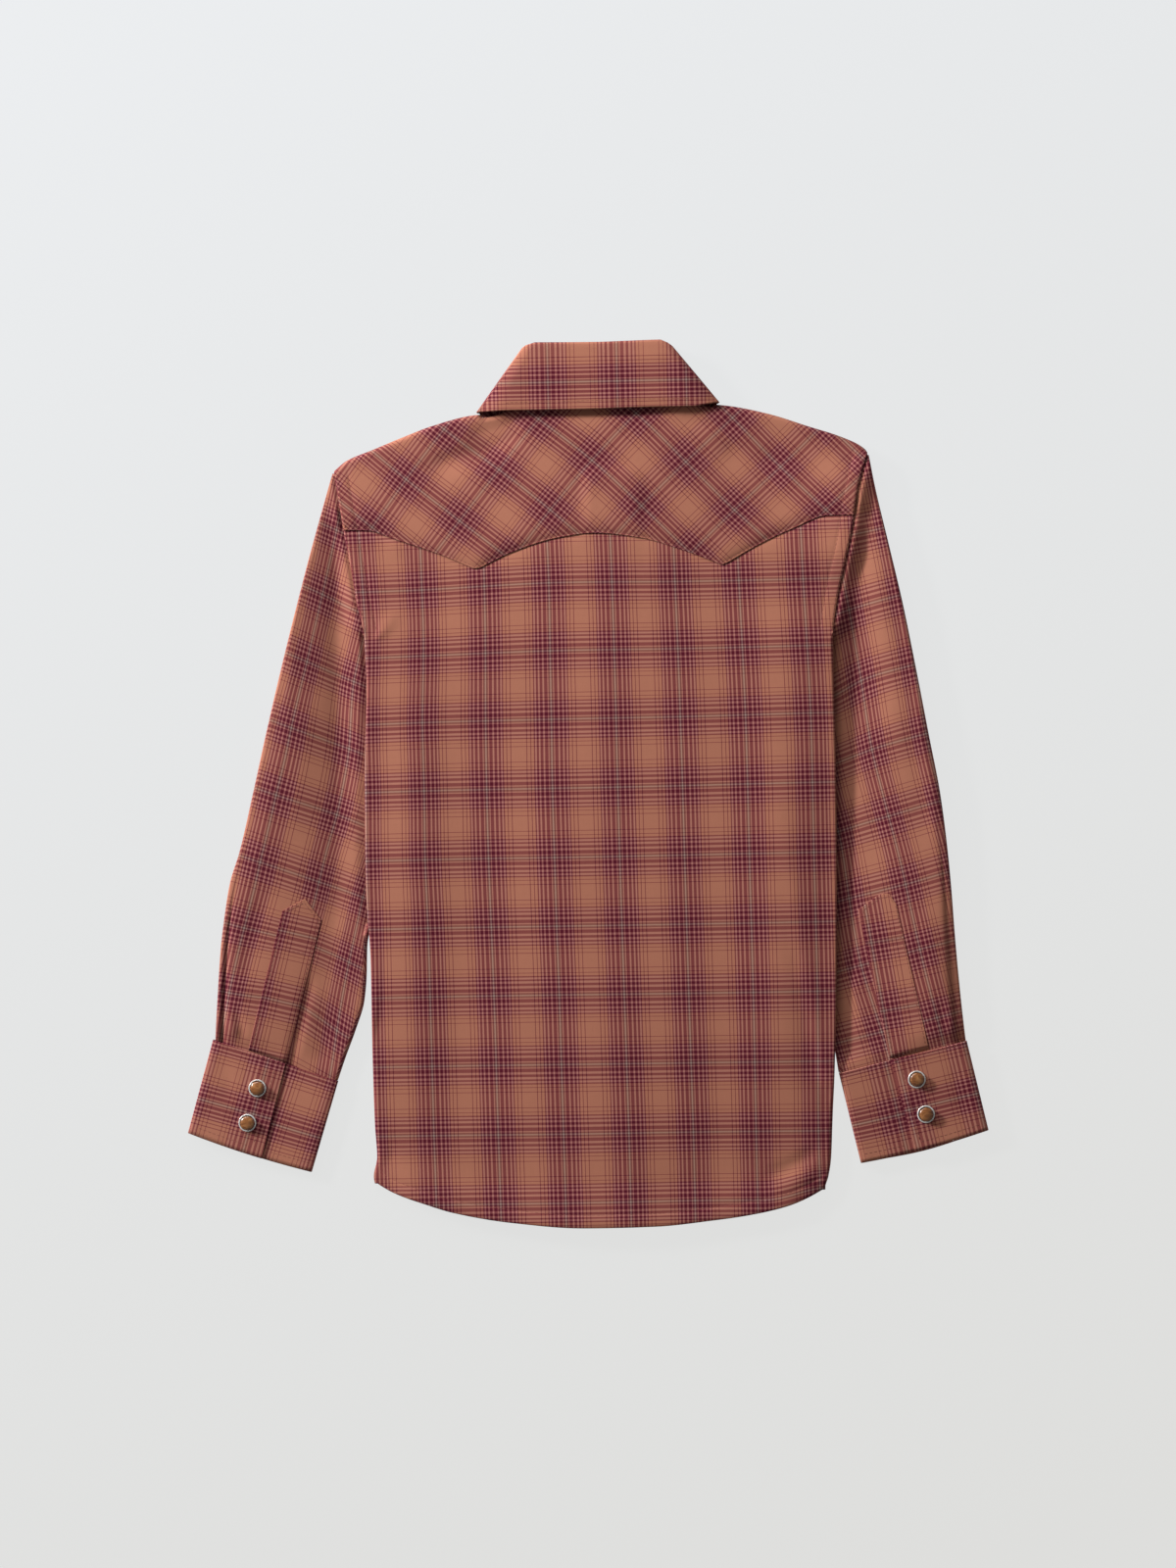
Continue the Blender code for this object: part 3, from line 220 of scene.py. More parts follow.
# Where the plaid lies: places on its pale lines (x, y), each with the number of the pale warp line and
# of the pale weft line through it. None means that only the other one passes there.
PALE_LINES = {
    "back": [
        (-102.0, 118.7, -3, 3), (-101.7, 37.6, -3, 1), (-100.0, -46.4, -3, -1), (-96.8, -130.4, -3, -3),
        (-94.5, -215.4, -3, -5), (-24.1, 123.2, -1, 3), (-22.5, 39.6, -1, 1), (-20.6, -45.1, -1, -1),
        (-17.7, -129.1, -1, -3), (-15.1, -214.4, -1, -5), (-13.8, -256.5, -1, -6), (53.0, 123.9, 1, 3),
        (56.3, 41.2, 1, 1), (58.9, -43.5, 1, -1), (61.5, -128.1, 1, -3), (64.4, -213.1, 1, -5),
        (65.4, -254.9, 1, -6), (131.5, 125.5, 3, 3), (136.1, 43.5, 3, 1), (138.0, -41.8, 3, -1),
        (140.3, -126.8, 3, -3), (140.9, -212.4, 3, -5), (-140.3, 150.5, -4, None), (-136.4, 97.0, -4, None),
        (-136.0, -3.6, -4, None), (-135.1, -74.9, -4, None),
    ],
    "yoke": [
        (-111.7, 186.4, 1, 0), (-78.8, 160.9, 1, 1), (-88.4, 217.1, 2, 0), (-54.4, 192.4, 2, 1),
        (-23.3, 167.8, 2, 2), (-30.6, 223.3, 3, 1), (2.3, 198.2, 3, 2), (32.5, 170.2, 3, 3),
        (29.4, 227.1, 4, 2), (59.6, 197.1, 4, 3), (89.4, 167.6, 4, 4), (88.3, 224.2, 5, 3),
        (117.8, 194.0, 5, 4), (145.0, 167.8, 5, 5), (-132.2, 157.1, 0, 0), (-52.2, 140.9, 1, None),
        (107.8, 151.1, 4, None), (165.6, 187.1, None, 5), (135.6, 211.6, None, 4),
    ],
    "sleeve_left": [
        (-154.2, 155.4, 0, 7), (-162.6, 116.4, 0, 6), (-171.7, 74.6, 0, 5), (-181.8, 34.4, 0, 4),
        (-191.2, -6.8, 0, 3), (-200.9, -47.7, 0, 2), (-210.6, -88.2, 0, 1), (-219.7, -128.1, 0, 0),
        (-144.2, 62.9, 1, 5), (-146.1, 21.4, 1, 4), (-153.6, -18.8, 1, 3), (-164.6, -60.3, 1, 2),
        (-138.6, -69.1, 2, 2), (-146.7, -109.3, 2, 1), (-154.2, -151.8, 2, 0), (-147.7, 108.3, None, 6),
        (-175.9, -134.9, None, 0), (-190.5, -92.8, None, 1), (-167.8, -74.9, 1, None),
        (-157.1, -173.8, 2, None),
    ],
    "sleeve_right": [
        (159.7, 106.7, 0, 6), (167.2, 64.5, 0, 5), (173.4, 21.4, 0, 4), (183.7, -19.8, 0, 3),
        (194.4, -61.6, 0, 2), (202.9, -100.9, 0, 1), (213.3, -143.0, 0, 0), (151.6, 53.2, None, 5),
        (166.2, -25.0, None, 3), (159.7, -70.1, -1, 2), (166.9, -111.2, -1, 1), (179.8, -151.8, -1, 0),
        (154.9, -34.4, -1, None), (185.7, 114.2, None, 6), (194.4, 71.4, None, 5), (203.5, 29.8, None, 4),
        (211.6, -11.4, None, 3), (163.0, 153.1, None, 7), (176.6, 155.4, None, 7), (153.3, -158.6, None, 0),
    ],
}


# ---- curves and small sums -------------------------------------------------------------------


def soft_step(t):
    t = np.clip(t, 0.0, 1.0)
    return t * t * (3 - 2 * t)


def bell(distance, width):
    """1 on a line, and less and less beside it."""
    return np.exp(-((distance / width) ** 2))


def mix(a, b, share):
    return a + (b - a) * share


def as_places(x, y):
    return np.broadcast_arrays(np.asarray(x, float), np.asarray(y, float))


def on_grid(x, y, z):
    return np.stack(np.broadcast_arrays(x, y, z), -1)


def far_apart(a, b):
    return float(np.hypot(*(np.array(a, float) - np.array(b, float))))


def bend_slope(before, after, run_before, run_after):
    """Slope of a soft curve at a point, from the slopes of the straight runs that meet there."""
    wide, narrow = 2 * run_after + run_before, run_after + 2 * run_before
    one_way = before * after > 0
    before, after = np.where(one_way, before, 1.0), np.where(one_way, after, 1.0)
    return np.where(one_way, (wide + narrow) / (wide / before + narrow / after), 0.0)


def along_run(t, run, low, high, low_slope, high_slope):
    """Height a share t along one run of a soft curve, from the heights and slopes at its ends."""
    rise = low * (1 + 2 * t) * (1 - t) ** 2 + high * t * t * (3 - 2 * t)
    return rise + run * (low_slope * t * (1 - t) ** 2 - high_slope * t * t * (1 - t))


def smooth_line(xs, ys):
    """A soft curve through the points that never overshoots them, as y for any x."""
    xs, ys = np.array(xs, float), np.array(ys, float)
    run = np.diff(xs)
    slope = np.diff(ys) / run
    bends = np.concatenate((slope[:1], bend_slope(slope[:-1], slope[1:], run[:-1], run[1:]), slope[-1:]))

    def at(x):
        x = np.asarray(x, float)
        k = np.clip(np.searchsorted(xs, x) - 1, 0, len(run) - 1)
        t = np.clip((x - xs[k]) / run[k], 0, 1)
        return along_run(t, run[k], ys[k], ys[k + 1], bends[k], bends[k + 1])

    return at


def line_through(points):
    return smooth_line([p[0] for p in points], [p[1] for p in points])


def five_line_height(share, knots):
    """A soft curve through five heights across the body, worked out for many places at once."""
    xs = np.array(ACROSS)
    run = np.diff(xs)
    heights = np.broadcast_arrays(*knots)
    slope = [(high - low) / width for low, high, width in zip(heights, heights[1:], run)]
    inner = [bend_slope(*slope[k:k + 2], *run[k:k + 2]) for k in range(3)]
    bends = [slope[0], *inner, slope[3]]
    k = np.clip(np.searchsorted(xs, share) - 1, 0, 3)

    def pick(rows, index):
        return np.choose(index, [np.broadcast_to(row, np.shape(share)) for row in rows])

    return along_run((share - xs[k]) / run[k], run[k], pick(heights, k), pick(heights, k + 1),
                     pick(bends, k), pick(bends, k + 1))


def run_along(points):
    """Distance from the first point to each point, along them."""
    steps = np.linalg.norm(np.diff(np.array(points, float), axis=0), axis=1)
    return np.concatenate(([0.0], np.cumsum(steps)))


def length_shares(points):
    run = run_along(points)
    return run / run[-1]


def route(points):
    """A soft curve through the points, as places for shares of its length."""
    shares, points = length_shares(points), np.array(points, float)
    place_x, place_y = (smooth_line(shares, points[:, k]) for k in (0, 1))
    return lambda share: np.stack((place_x(share), place_y(share)), -1)


def straight_route(points):
    shares, points = length_shares(points), np.array(points, float)
    return lambda share: np.stack([np.interp(share, shares, points[:, k]) for k in (0, 1)], -1)


def patch(near, far, left, right):
    """Places of the sheet inside four curves, by shares s from near to far and t from left to right."""

    def at(s, t):
        s, t = np.asarray(s, float)[..., None], np.asarray(t, float)[..., None]
        ends = (1 - s) * near(t[..., 0]) + s * far(t[..., 0])
        sides = (1 - t) * left(s[..., 0]) + t * right(s[..., 0])
        corners = (1 - s) * ((1 - t) * near(0) + t * near(1)) + s * ((1 - t) * far(0) + t * far(1))
        return ends + sides - corners

    return at


def spread(*stops):
    """Shares that run evenly from stop to stop: stop, steps, stop, steps, stop."""
    shares = [stops[0]]
    for steps, end in zip(stops[1::2], stops[2::2]):
        start = shares[-1]
        shares += [mix(start, end, (k + 1) / steps) for k in range(steps)]
    return np.array(shares, float)


def arc_angles(start, end):
    return [mix(start, end, k / FOLD_STEPS) for k in range(FOLD_STEPS + 1)]


DOWN_ROUND = arc_angles(QUARTER, -QUARTER)  # round a fold from its top to its underside
UP_ROUND = arc_angles(-QUARTER, QUARTER)


def off_straight(x, y, start, end):
    """How far along a straight run places lie, as a share of it, and how far from it."""
    (x0, y0), (x1, y1) = start, end
    dx, dy = x1 - x0, y1 - y0
    share = np.clip(((x - x0) * dx + (y - y0) * dy) / max(dx * dx + dy * dy, 1e-9), 0, 1)
    return share, np.hypot(x - x0 - share * dx, y - y0 - share * dy)


class Outline:
    """A closed outline in plan, which tells how far outside it places lie."""

    def __init__(self, points):
        self.start = np.array(points, float)
        self.end = np.roll(self.start, -1, axis=0)

    def clearance(self, x, y):
        x, y = as_places(x, y)
        nearest = np.full(x.shape, 1e9)
        inside = np.zeros(x.shape, bool)
        for (x0, y0), (x1, y1) in zip(self.start, self.end):
            nearest = np.minimum(nearest, off_straight(x, y, (x0, y0), (x1, y1))[1])
            if y0 != y1:
                inside ^= ((y0 > y) != (y1 > y)) & (x < x0 + (x1 - x0) * (y - y0) / (y1 - y0))
        return np.where(inside, 0.0, nearest)


class Pad:
    """Something that lifts the cloth lying on it, with a soft slope beside it."""

    hold = 7.0  # the cloth keeps its full height this far beyond the pad

    def __init__(self, points, height, slope):
        self.outline, self.height, self.slope = Outline(points), height, slope

    def lift(self, x, y):
        return self.height * soft_step(1 - (self.outline.clearance(x, y) - self.hold) / self.slope)


def lift_over(pads, x, y):
    return np.maximum.reduce([pad.lift(x, y) for pad in pads])


class Crease:
    """A soft trough or ridge along a bent line, steeper on one side, which dies away at both ends."""

    fade = 0.3  # share of its length over which each end dies away

    def __init__(self, points, width, height, lean=0.0):
        self.points, self.width, self.height, self.lean = np.array(points, float), width, height, lean

    def rise(self, x, y):
        nearest = np.full(np.shape(x), 1e9)
        side, along = np.zeros(np.shape(x)), np.zeros(np.shape(x))
        shares = length_shares(self.points)
        for k, (start, end) in enumerate(zip(self.points, self.points[1:])):
            share, away = off_straight(x, y, start, end)
            turn = (x - start[0]) * (end[1] - start[1]) - (y - start[1]) * (end[0] - start[0])
            nearer = away < nearest
            nearest = np.where(nearer, away, nearest)
            side = np.where(nearer, np.sign(turn), side)
            along = np.where(nearer, mix(shares[k], shares[k + 1], share), along)
        ends = soft_step(np.minimum(along, 1 - along) / self.fade + 0.02)
        return self.height * bell(nearest, self.width * (1 + self.lean * side)) * ends


def relief(creases, x, y):
    x, y = np.asarray(x, float), np.asarray(y, float)
    return sum((crease.rise(x, y) for crease in creases), np.zeros(x.shape))


def ripple(x, y, seed):
    """The small unevenness of cloth that has been pressed and laid down: long waves and short ones."""
    wave = np.sin(x / 23.0 + y / 61.0 + seed) * np.sin(y / 31.0 - x / 47.0 + 2 * seed)
    return 0.16 * wave + 0.1 * np.sin(x / 11.0 + 1.7 * seed) * np.sin(y / 37.0 + x / 90.0)


# ---- the shirt's own shape -------------------------------------------------------------------

body_rows = np.array(BODY, float)
body_left, body_right = (smooth_line(body_rows[:, 0], body_rows[:, k]) for k in (1, 2))
BODY_EDGE = {"left": body_left, "right": body_right}
body_tops = [smooth_line(body_rows[:, 0], body_rows[:, k]) for k in range(3, 8)]
shoulder_y, hem_y = line_through(SHOULDER), line_through(HEM)
yoke_edges = [(part[-1][0], line_through(part)) for part in YOKE_EDGE]


def yoke_edge_y(x):
    first, middle, last = (line(x) for _, line in yoke_edges)
    return np.where(x <= yoke_edges[0][0], first, np.where(x <= yoke_edges[1][0], middle, last))


def neck_front(share):
    angle = math.pi * np.asarray(share, float)
    x = CENTRE_X - NECK_HALF_WIDTH * np.cos(angle)
    base = shoulder_y(CENTRE_X) - NECK_DROP + NECK_TILT * (x - CENTRE_X)
    return np.stack((x, base - NECK_DEPTH * np.sin(angle)), -1)


def neck_x(side, y):
    """Where the neck's front edge lies on one side, at a height up the shirt."""
    x = NECK_X[side]
    start_x, start_y = neck_front(0.0)
    for _ in range(6):
        base = start_y + NECK_TILT * (x - start_x)
        drop = np.clip((base - y) / NECK_DEPTH, 0.0, 1.0)
        x = CENTRE_X - INWARD[side] * NECK_HALF_WIDTH * np.sqrt(1 - drop * drop)
    return x


def armhole_points(side):
    tip = SLEEVE_OUTER[side][0]
    levels = (ARMHOLE_CORNER_Y, 104.0, 118.0, 132.0, 146.0, 160.0, tip[1] - 16.0, tip[1] - 6.0)
    visible = [(float(BODY_EDGE[side](y)) - INWARD[side] * ARMHOLE_GAP, y) for y in levels]
    return [SLEEVE_INNER[side][0], LIP[side], *visible, tip]


def sleeve_region(side):
    """The plan of a sleeve, which widens outwards beyond its own outer edge."""
    far, inner = -INWARD[side] * FAR, SLEEVE_INNER[side]
    corner = (float(BODY_EDGE[side](ARMHOLE_CORNER_Y)), ARMHOLE_CORNER_Y)
    return [(far, ARMHOLE_CORNER_Y), corner, LIP[side], *inner, (far, inner[-1][1])]


def band_pad(height):
    left, right = CENTRE_X - BAND_WIDTH / 2, CENTRE_X + BAND_WIDTH / 2
    corners = [(left, BAND_TOP_Y), (right, BAND_TOP_Y), (right, BAND_FOOT_Y), (left, BAND_FOOT_Y)]
    return Pad(corners, height, 24.0)


COLLAR_PADS = [Pad([row[:2] for row in rows] + [row[2:] for row in reversed(rows)], CLOTH + AIR, 12.0)
               for rows in LEAF_FRONT.values()]
SLEEVE_PADS = [Pad(sleeve_region("left"), SLEEVE_UNDER + AIR, 17.0),
               Pad(sleeve_region("right"), SLEEVE_UNDER + 2 * AIR, 17.0)]
# What each front lies on. The right one crosses over the left one's edge.
FRONT_PADS = {
    "left": COLLAR_PADS + SLEEVE_PADS + [band_pad(BAND_LIFT)],
    "right": COLLAR_PADS + SLEEVE_PADS + [band_pad(BAND_LIFT + CLOTH + GAP)],
}


def front_lift(x, y):
    x = np.asarray(x, float)
    on_left, on_right = (lift_over(FRONT_PADS[side], x, y) for side in SIDES)
    return np.where(x < CENTRE_X - UNDERLAP, on_left, on_right)


SWELLS = [Crease([(154, 118), (163, 150), (170, 185), (170, 212)], 31.0, 3.6)]  # the fuller right shoulder


def flat_back_top(x, y):
    """Height of the back panel's outer face, before its creases. It never sinks into the fronts."""
    left, right = body_left(y), body_right(y)
    share = np.clip((x - left) / (right - left), 0, 1)
    free = five_line_height(share, [top(y) for top in body_tops]) + relief(SWELLS, x, y)
    return np.maximum(free, front_lift(x, y) + 2 * CLOTH + AIR)


def side_fold(side, y):
    """A side fold's edge, the height of what lies beneath it, and its radius."""
    edge = BODY_EDGE[side](y)
    under = front_lift(edge + INWARD[side] * 2.0, y)
    return edge, under, (flat_back_top(edge, y) - under) / 2


def fold_growth(y):
    """0 where the armhole ends, and 1 from the underarm down, where the side folds are whole."""
    return soft_step((UNDERARM_Y + SIDE_FOLD_RUN - y) / SIDE_FOLD_RUN)


def hem_corner(y):
    """0 above the hem's side corners and 1 at their foot."""
    return soft_step((SIDE_HEM_Y - y) / SIDE_HEM_RUN)


def across_body(share, y):
    left_in, right_in = (side_fold(side, y)[2] * fold_growth(y) for side in SIDES)
    return mix(body_left(y) + left_in, body_right(y) - right_in, share)


def meet(share, curve, guess):
    y = np.full(np.shape(share), float(guess))
    for _ in range(8):
        y = curve(across_body(share, y))
    return y


# Creases of the back and yoke together: a bent line, half its width, and how high (+) or deep (-) it is.
BODY_CREASES = [
    Crease([(-104, 190), (-84, 199), (-60, 205), (-42, 206)], 7.0, -1.5, 0.3),
    Crease([(-86, 220), (-68, 224), (-52, 227)], 4.2, 0.9, -0.3),
    Crease([(-78, 214), (-58, 211), (-36, 214)], 5.0, -1.2),
    Crease([(78, 212), (98, 203), (124, 192)], 8.0, -1.3, 0.3),
    Crease([(52, 226), (74, 222), (96, 217)], 6.0, -0.6),
    Crease([(155, 214), (160, 205), (166, 192)], 4.5, -1.1, 0.3),
    Crease([(-132, 86), (-125, 95), (-117, 105)], 2.4, 0.8),
    Crease([(-124, 150), (-118, 144), (-112, 140)], 3.0, 0.5),
    Crease([(104, -240), (118, -237), (130, -231), (143, -222)], 3.8, -1.1, 0.2),
    Crease([(110, -250), (124, -245), (140, -236)], 5.0, 0.6),
    Crease([(-118, -222), (-124, -230), (-128, -236)], 4.0, -0.5),
    Crease([(-45, 229.5), (10, 230.0), (62, 232.0)], 5.0, -1.2),
    Crease([(-72, 216), (-54, 219), (-36, 225)], 3.0, -1.0),
    Crease([(-104, 118), (-106, 0), (-104, -120), (-102, -240)], 18.0, 0.9),
    Crease([(116, 130), (120, 20), (119, -100), (114, -240)], 18.0, 1.3),
    Crease([(-118, 60), (-90, 20), (-84, -30)], 16.0, -0.3),
    Crease([(40, 100), (60, 40), (56, -20)], 20.0, 0.35),
    Crease([(110, 90), (122, 40), (118, -10)], 14.0, -0.4),
    Crease([(-60, -120), (-40, -170), (-46, -225)], 18.0, 0.35),
    Crease([(70, -150), (84, -200), (80, -240)], 15.0, -0.35),
]


ARMHOLE_RAISED, HEM_RAISED = 0.08, 0.15  # how far the folded cloth of a seam stands up
SEAM_SOFT = 1.2  # over which a seam's strip rises
GROOVE_WIDTH, GROOVE_DEPTH, EDGE_DEPTH = 0.8, 0.2, 0.25


def groove(distance, seam, raised):
    """A stitched seam at its distance from an edge: a thicker strip up to it and a fine groove along it."""
    strip = soft_step(distance / SEAM_SOFT) * soft_step((seam + SEAM_SOFT / 2 - distance) / SEAM_SOFT)
    sunk = GROOVE_DEPTH * bell(distance - seam, GROOVE_WIDTH) + EDGE_DEPTH * bell(distance, GROOVE_WIDTH)
    return raised * strip - sunk


def side_inset(x, y):
    """How far in from the nearer side places lie."""
    return np.minimum(x - body_left(y), body_right(y) - x)


def soft_relief(x, y, inset):
    """Creases and ripple of the back and yoke, which die away at the side folds."""
    return (relief(BODY_CREASES, x, y) + ripple(x, y, 0.4)) * soft_step((inset - 2.0) / 10.0)


def yoke_dent(off_edge, inset):
    """How far the cloth is pressed down along the yoke's lower edge."""
    return YOKE_PRESS * bell(off_edge, YOKE_PRESS_WIDTH) * soft_step(inset / 4.0)


def back_relief(x, y):
    """Creases, ripple and stitched seams of the back."""
    inset, up = side_inset(x, y), y - hem_y(x)
    by_armhole = groove(inset, ARMHOLE_SEAM, ARMHOLE_RAISED) * soft_step((y - UNDERARM_Y - 2.0) / 8.0)
    by_hem = groove(up, HEM_FOLD, HEM_RAISED) * soft_step(inset / 2.0)
    curled = HEM_CURL * soft_step(1 - up / HEM_CURL_RUN) * soft_step(inset / 25.0)
    return soft_relief(x, y, inset) + by_armhole + by_hem + curled - yoke_dent(yoke_edge_y(x) - y, inset)


def back_top(x, y):
    return flat_back_top(x, y) + back_relief(x, y)


def yoke_lift(up):
    """How far the yoke's outer face lies above the back, by how far up it is from the yoke's edge."""
    return mix(YOKE_EDGE_LIFT, YOKE_LIFT, soft_step(up / 10.0))


# ---- making cloth ----------------------------------------------------------------------------


class PlaidMap:
    """The plaid's repeats anywhere on a piece, as a soft sheet through places on its pale lines."""

    slack = 0.03

    def __init__(self, marks):
        self.fits = []
        for k in (2, 3):
            chosen = [mark for mark in marks if mark[k] is not None]
            places = np.array([mark[:2] for mark in chosen], float) / 100
            numbers = [mark[k] for mark in chosen]
            bend = self.bend(places[:, 0], places[:, 1], places) + self.slack * np.eye(len(chosen))
            level = np.column_stack((np.ones(len(chosen)), places))
            system = np.block([[bend, level], [level.T, np.zeros((3, 3))]])
            self.fits.append((places, np.linalg.solve(system, np.concatenate((numbers, np.zeros(3))))))

    @staticmethod
    def bend(x, y, places):
        apart = (x[..., None] - places[:, 0]) ** 2 + (y[..., None] - places[:, 1]) ** 2
        return 0.5 * apart * np.log(apart + 1e-9)

    def at(self, x, y):
        x, y = np.broadcast_arrays(np.asarray(x, float) / 100, np.asarray(y, float) / 100)
        found = []
        for places, factors in self.fits:
            base, slope_x, slope_y = factors[-3:]
            found.append(self.bend(x, y, places) @ factors[:-3] + base + slope_x * x + slope_y * y)
        return np.stack(found, -1)


PLAID_MAPS = {name: PlaidMap(marks) for name, marks in PALE_LINES.items()}


def grain_at(name, x, y):
    """Repeats of the plaid at places in plan, as (..., 2)."""
    if name == "back":
        y = y - HEM_TURN_UP * soft_step((x - 108.0) / 38.0) * hem_corner(y)
    return PLAID_MAPS[name].at(x, y)


def straight_grain(x, y, origin, turn=0.0, warp_across=True):
    """Repeats on a piece cut straight.

    origin is where two pale lines cross, and turn is the way of the piece's own x, in degrees.
    """
    c, s = math.cos(math.radians(turn)), math.sin(math.radians(turn))
    dx, dy = np.asarray(x, float) - origin[0], np.asarray(y, float) - origin[1]
    along, up = dx * c + dy * s, dy * c - dx * s
    if warp_across:
        return np.stack((along / WARP_REPEAT, up / WEFT_REPEAT), -1)
    return np.stack((up / WARP_REPEAT, along / WEFT_REPEAT), -1)


def cloth(name, grids, wall=WALL):
    """A piece of cloth from grids of places on its outer face, each with its plaid repeats.

    Seen from outside, each row runs to the right and the next row lies above it.
    """
    bm = bmesh.new()
    plaid = bm.loops.layers.uv.new("cloth")
    for places, repeats in grids:
        rows, columns = places.shape[:2]
        verts = [[bm.verts.new(places[r, c] * MM) for c in range(columns)] for r in range(rows)]
        for r in range(rows - 1):
            for c in range(columns - 1):
                corners = ((r, c), (r, c + 1), (r + 1, c + 1), (r + 1, c))
                face = bm.faces.new([verts[a][b] for a, b in corners])
                for loop, (a, b) in zip(face.loops, corners):
                    loop[plaid].uv = repeats[a, b]
    bmesh.ops.remove_doubles(bm, verts=bm.verts, dist=WELD)
    mesh = bpy.data.meshes.new(name)
    bm.to_mesh(mesh)
    bm.free()
    mesh.shade_smooth()
    made = bpy.data.objects.new(name, mesh)
    bpy.context.scene.collection.objects.link(made)
    thicken = made.modifiers.new("wall", "SOLIDIFY")
    thicken.thickness = wall * MM
    thicken.offset = -1
    return made


def flipped(grid):
    """The same grid with its outer face looking the other way."""
    places, repeats = grid
    return places[:, ::-1], repeats[:, ::-1]


def edge_columns(width):
    """Shares in from an edge for a width in mm, close together at the edge and at the armhole's seam."""
    by_seam = [ARMHOLE_SEAM + step for step in (-1.4, -0.7, 0.0, 0.7, 1.6)]
    return np.array([0.0, 0.6, 1.4, 2.6, 4.6] + by_seam) / width


def build_back():
    near = edge_columns(BACK_WIDTH)
    columns = np.concatenate((near, spread(near[-1], 76, 1 - near[-1])[1:-1], 1 - near[::-1]))
    upper = meet(columns, lambda x: yoke_edge_y(x) + YOKE_LAP, 150.0)
    lower = meet(columns, hem_y, -260.0)
    chest = [mix(upper, UNDERARM_Y, share) for share in spread(0, 8, 0.14, 15, 0.9, 6, 1)]
    waist = [mix(UNDERARM_Y, lower, share) for share in spread(0, 86, 0.965)[1:]]
    by_hem_seam = [HEM_FOLD + step for step in (1.6, 0.7, 0.0, -0.7, -1.6)]
    foot = [lower + rise for rise in by_hem_seam + [4.4, 2.4, 1.2, 0.5, 0.0]]
    y = np.array(chest + waist + foot)[::-1]
    x = across_body(np.broadcast_to(columns, y.shape), y)
    top = on_grid(x, y, back_top(x, y))
    grids = [(top, grain_at("back", x, y))]
    folded = y[:, 0] <= UNDERARM_Y + SIDE_FOLD_RUN
    below = (y[:, 0] <= UNDERARM_Y + 0.01)[folded]
    for side, end in (("left", 0), ("right", -1)):
        places, repeats = side_wrap(side, top[folded, end])
        grids.append(wrap_grid(side, places[:FOLD_STEPS + 1], repeats[:FOLD_STEPS + 1]))
        under = [place[below] for place in places[FOLD_STEPS:]]
        grids.append(wrap_grid(side, under, [repeat[below] for repeat in repeats[FOLD_STEPS:]]))
    return cloth("back_panel", grids)


def wrap_grid(side, places, repeats):
    wrap = np.stack(places, 1), np.stack(repeats, 1)
    return wrap if side == "right" else flipped(wrap)


def side_wrap(side, start):
    """Rows from the top face round a side fold and in to the side seam beneath."""
    sign, level = INWARD[side], start[:, 1]
    edge, _, full = side_fold(side, level)
    radius = full * fold_growth(level)
    places, repeats = [start], [grain_at("back", start[:, 0], level)]
    for angle in DOWN_ROUND[1:]:
        turned = edge + sign * radius * (1 - math.cos(angle))
        places.append(on_grid(turned, level, start[:, 2] - radius + radius * math.sin(angle)))
        repeats.append(grain_at("back", start[:, 0] - sign * radius * (QUARTER - angle), level))
    for inset in (6.0, 12.0, SIDE_SEAM_IN):
        place = edge + sign * inset
        drawn = level + HEM_RISE * inset / SIDE_SEAM_IN * hem_corner(level)
        places.append(on_grid(place, drawn, front_lift(place, level)))
        repeats.append(grain_at("back", start[:, 0] - sign * (math.pi * radius + inset - radius), level))
    return places, repeats


def front_shoulder(side, share, drop):
    """Places on the front of a shoulder, from the sleeve in to the neck, so far down it."""
    fold_y = shoulder_y(mix(SLEEVE_OUTER[side][0][0], NECK_X[side], share))
    y = fold_y - SHOULDER_DROP * drop
    inner = neck_x(side, shoulder_y(NECK_X[side]) - SHOULDER_DROP * drop)
    x = mix(BODY_EDGE[side](np.minimum(y, fold_y - 1.0)), inner, share)
    return on_grid(x, y, front_lift(x, y))


def yoke_top(x, y):
    """Height of the yoke's outer face, before it turns over the shoulders."""
    up, inset = y - yoke_edge_y(x), side_inset(x, y)
    soft = soft_relief(x, y, inset) * soft_step(up / 8.0) - yoke_dent(up, inset)
    seams = groove(inset, ARMHOLE_SEAM, ARMHOLE_RAISED) - 0.16 * bell(up - YOKE_STITCH_IN, 0.7)
    return flat_back_top(x, y) + yoke_lift(up) + soft + seams


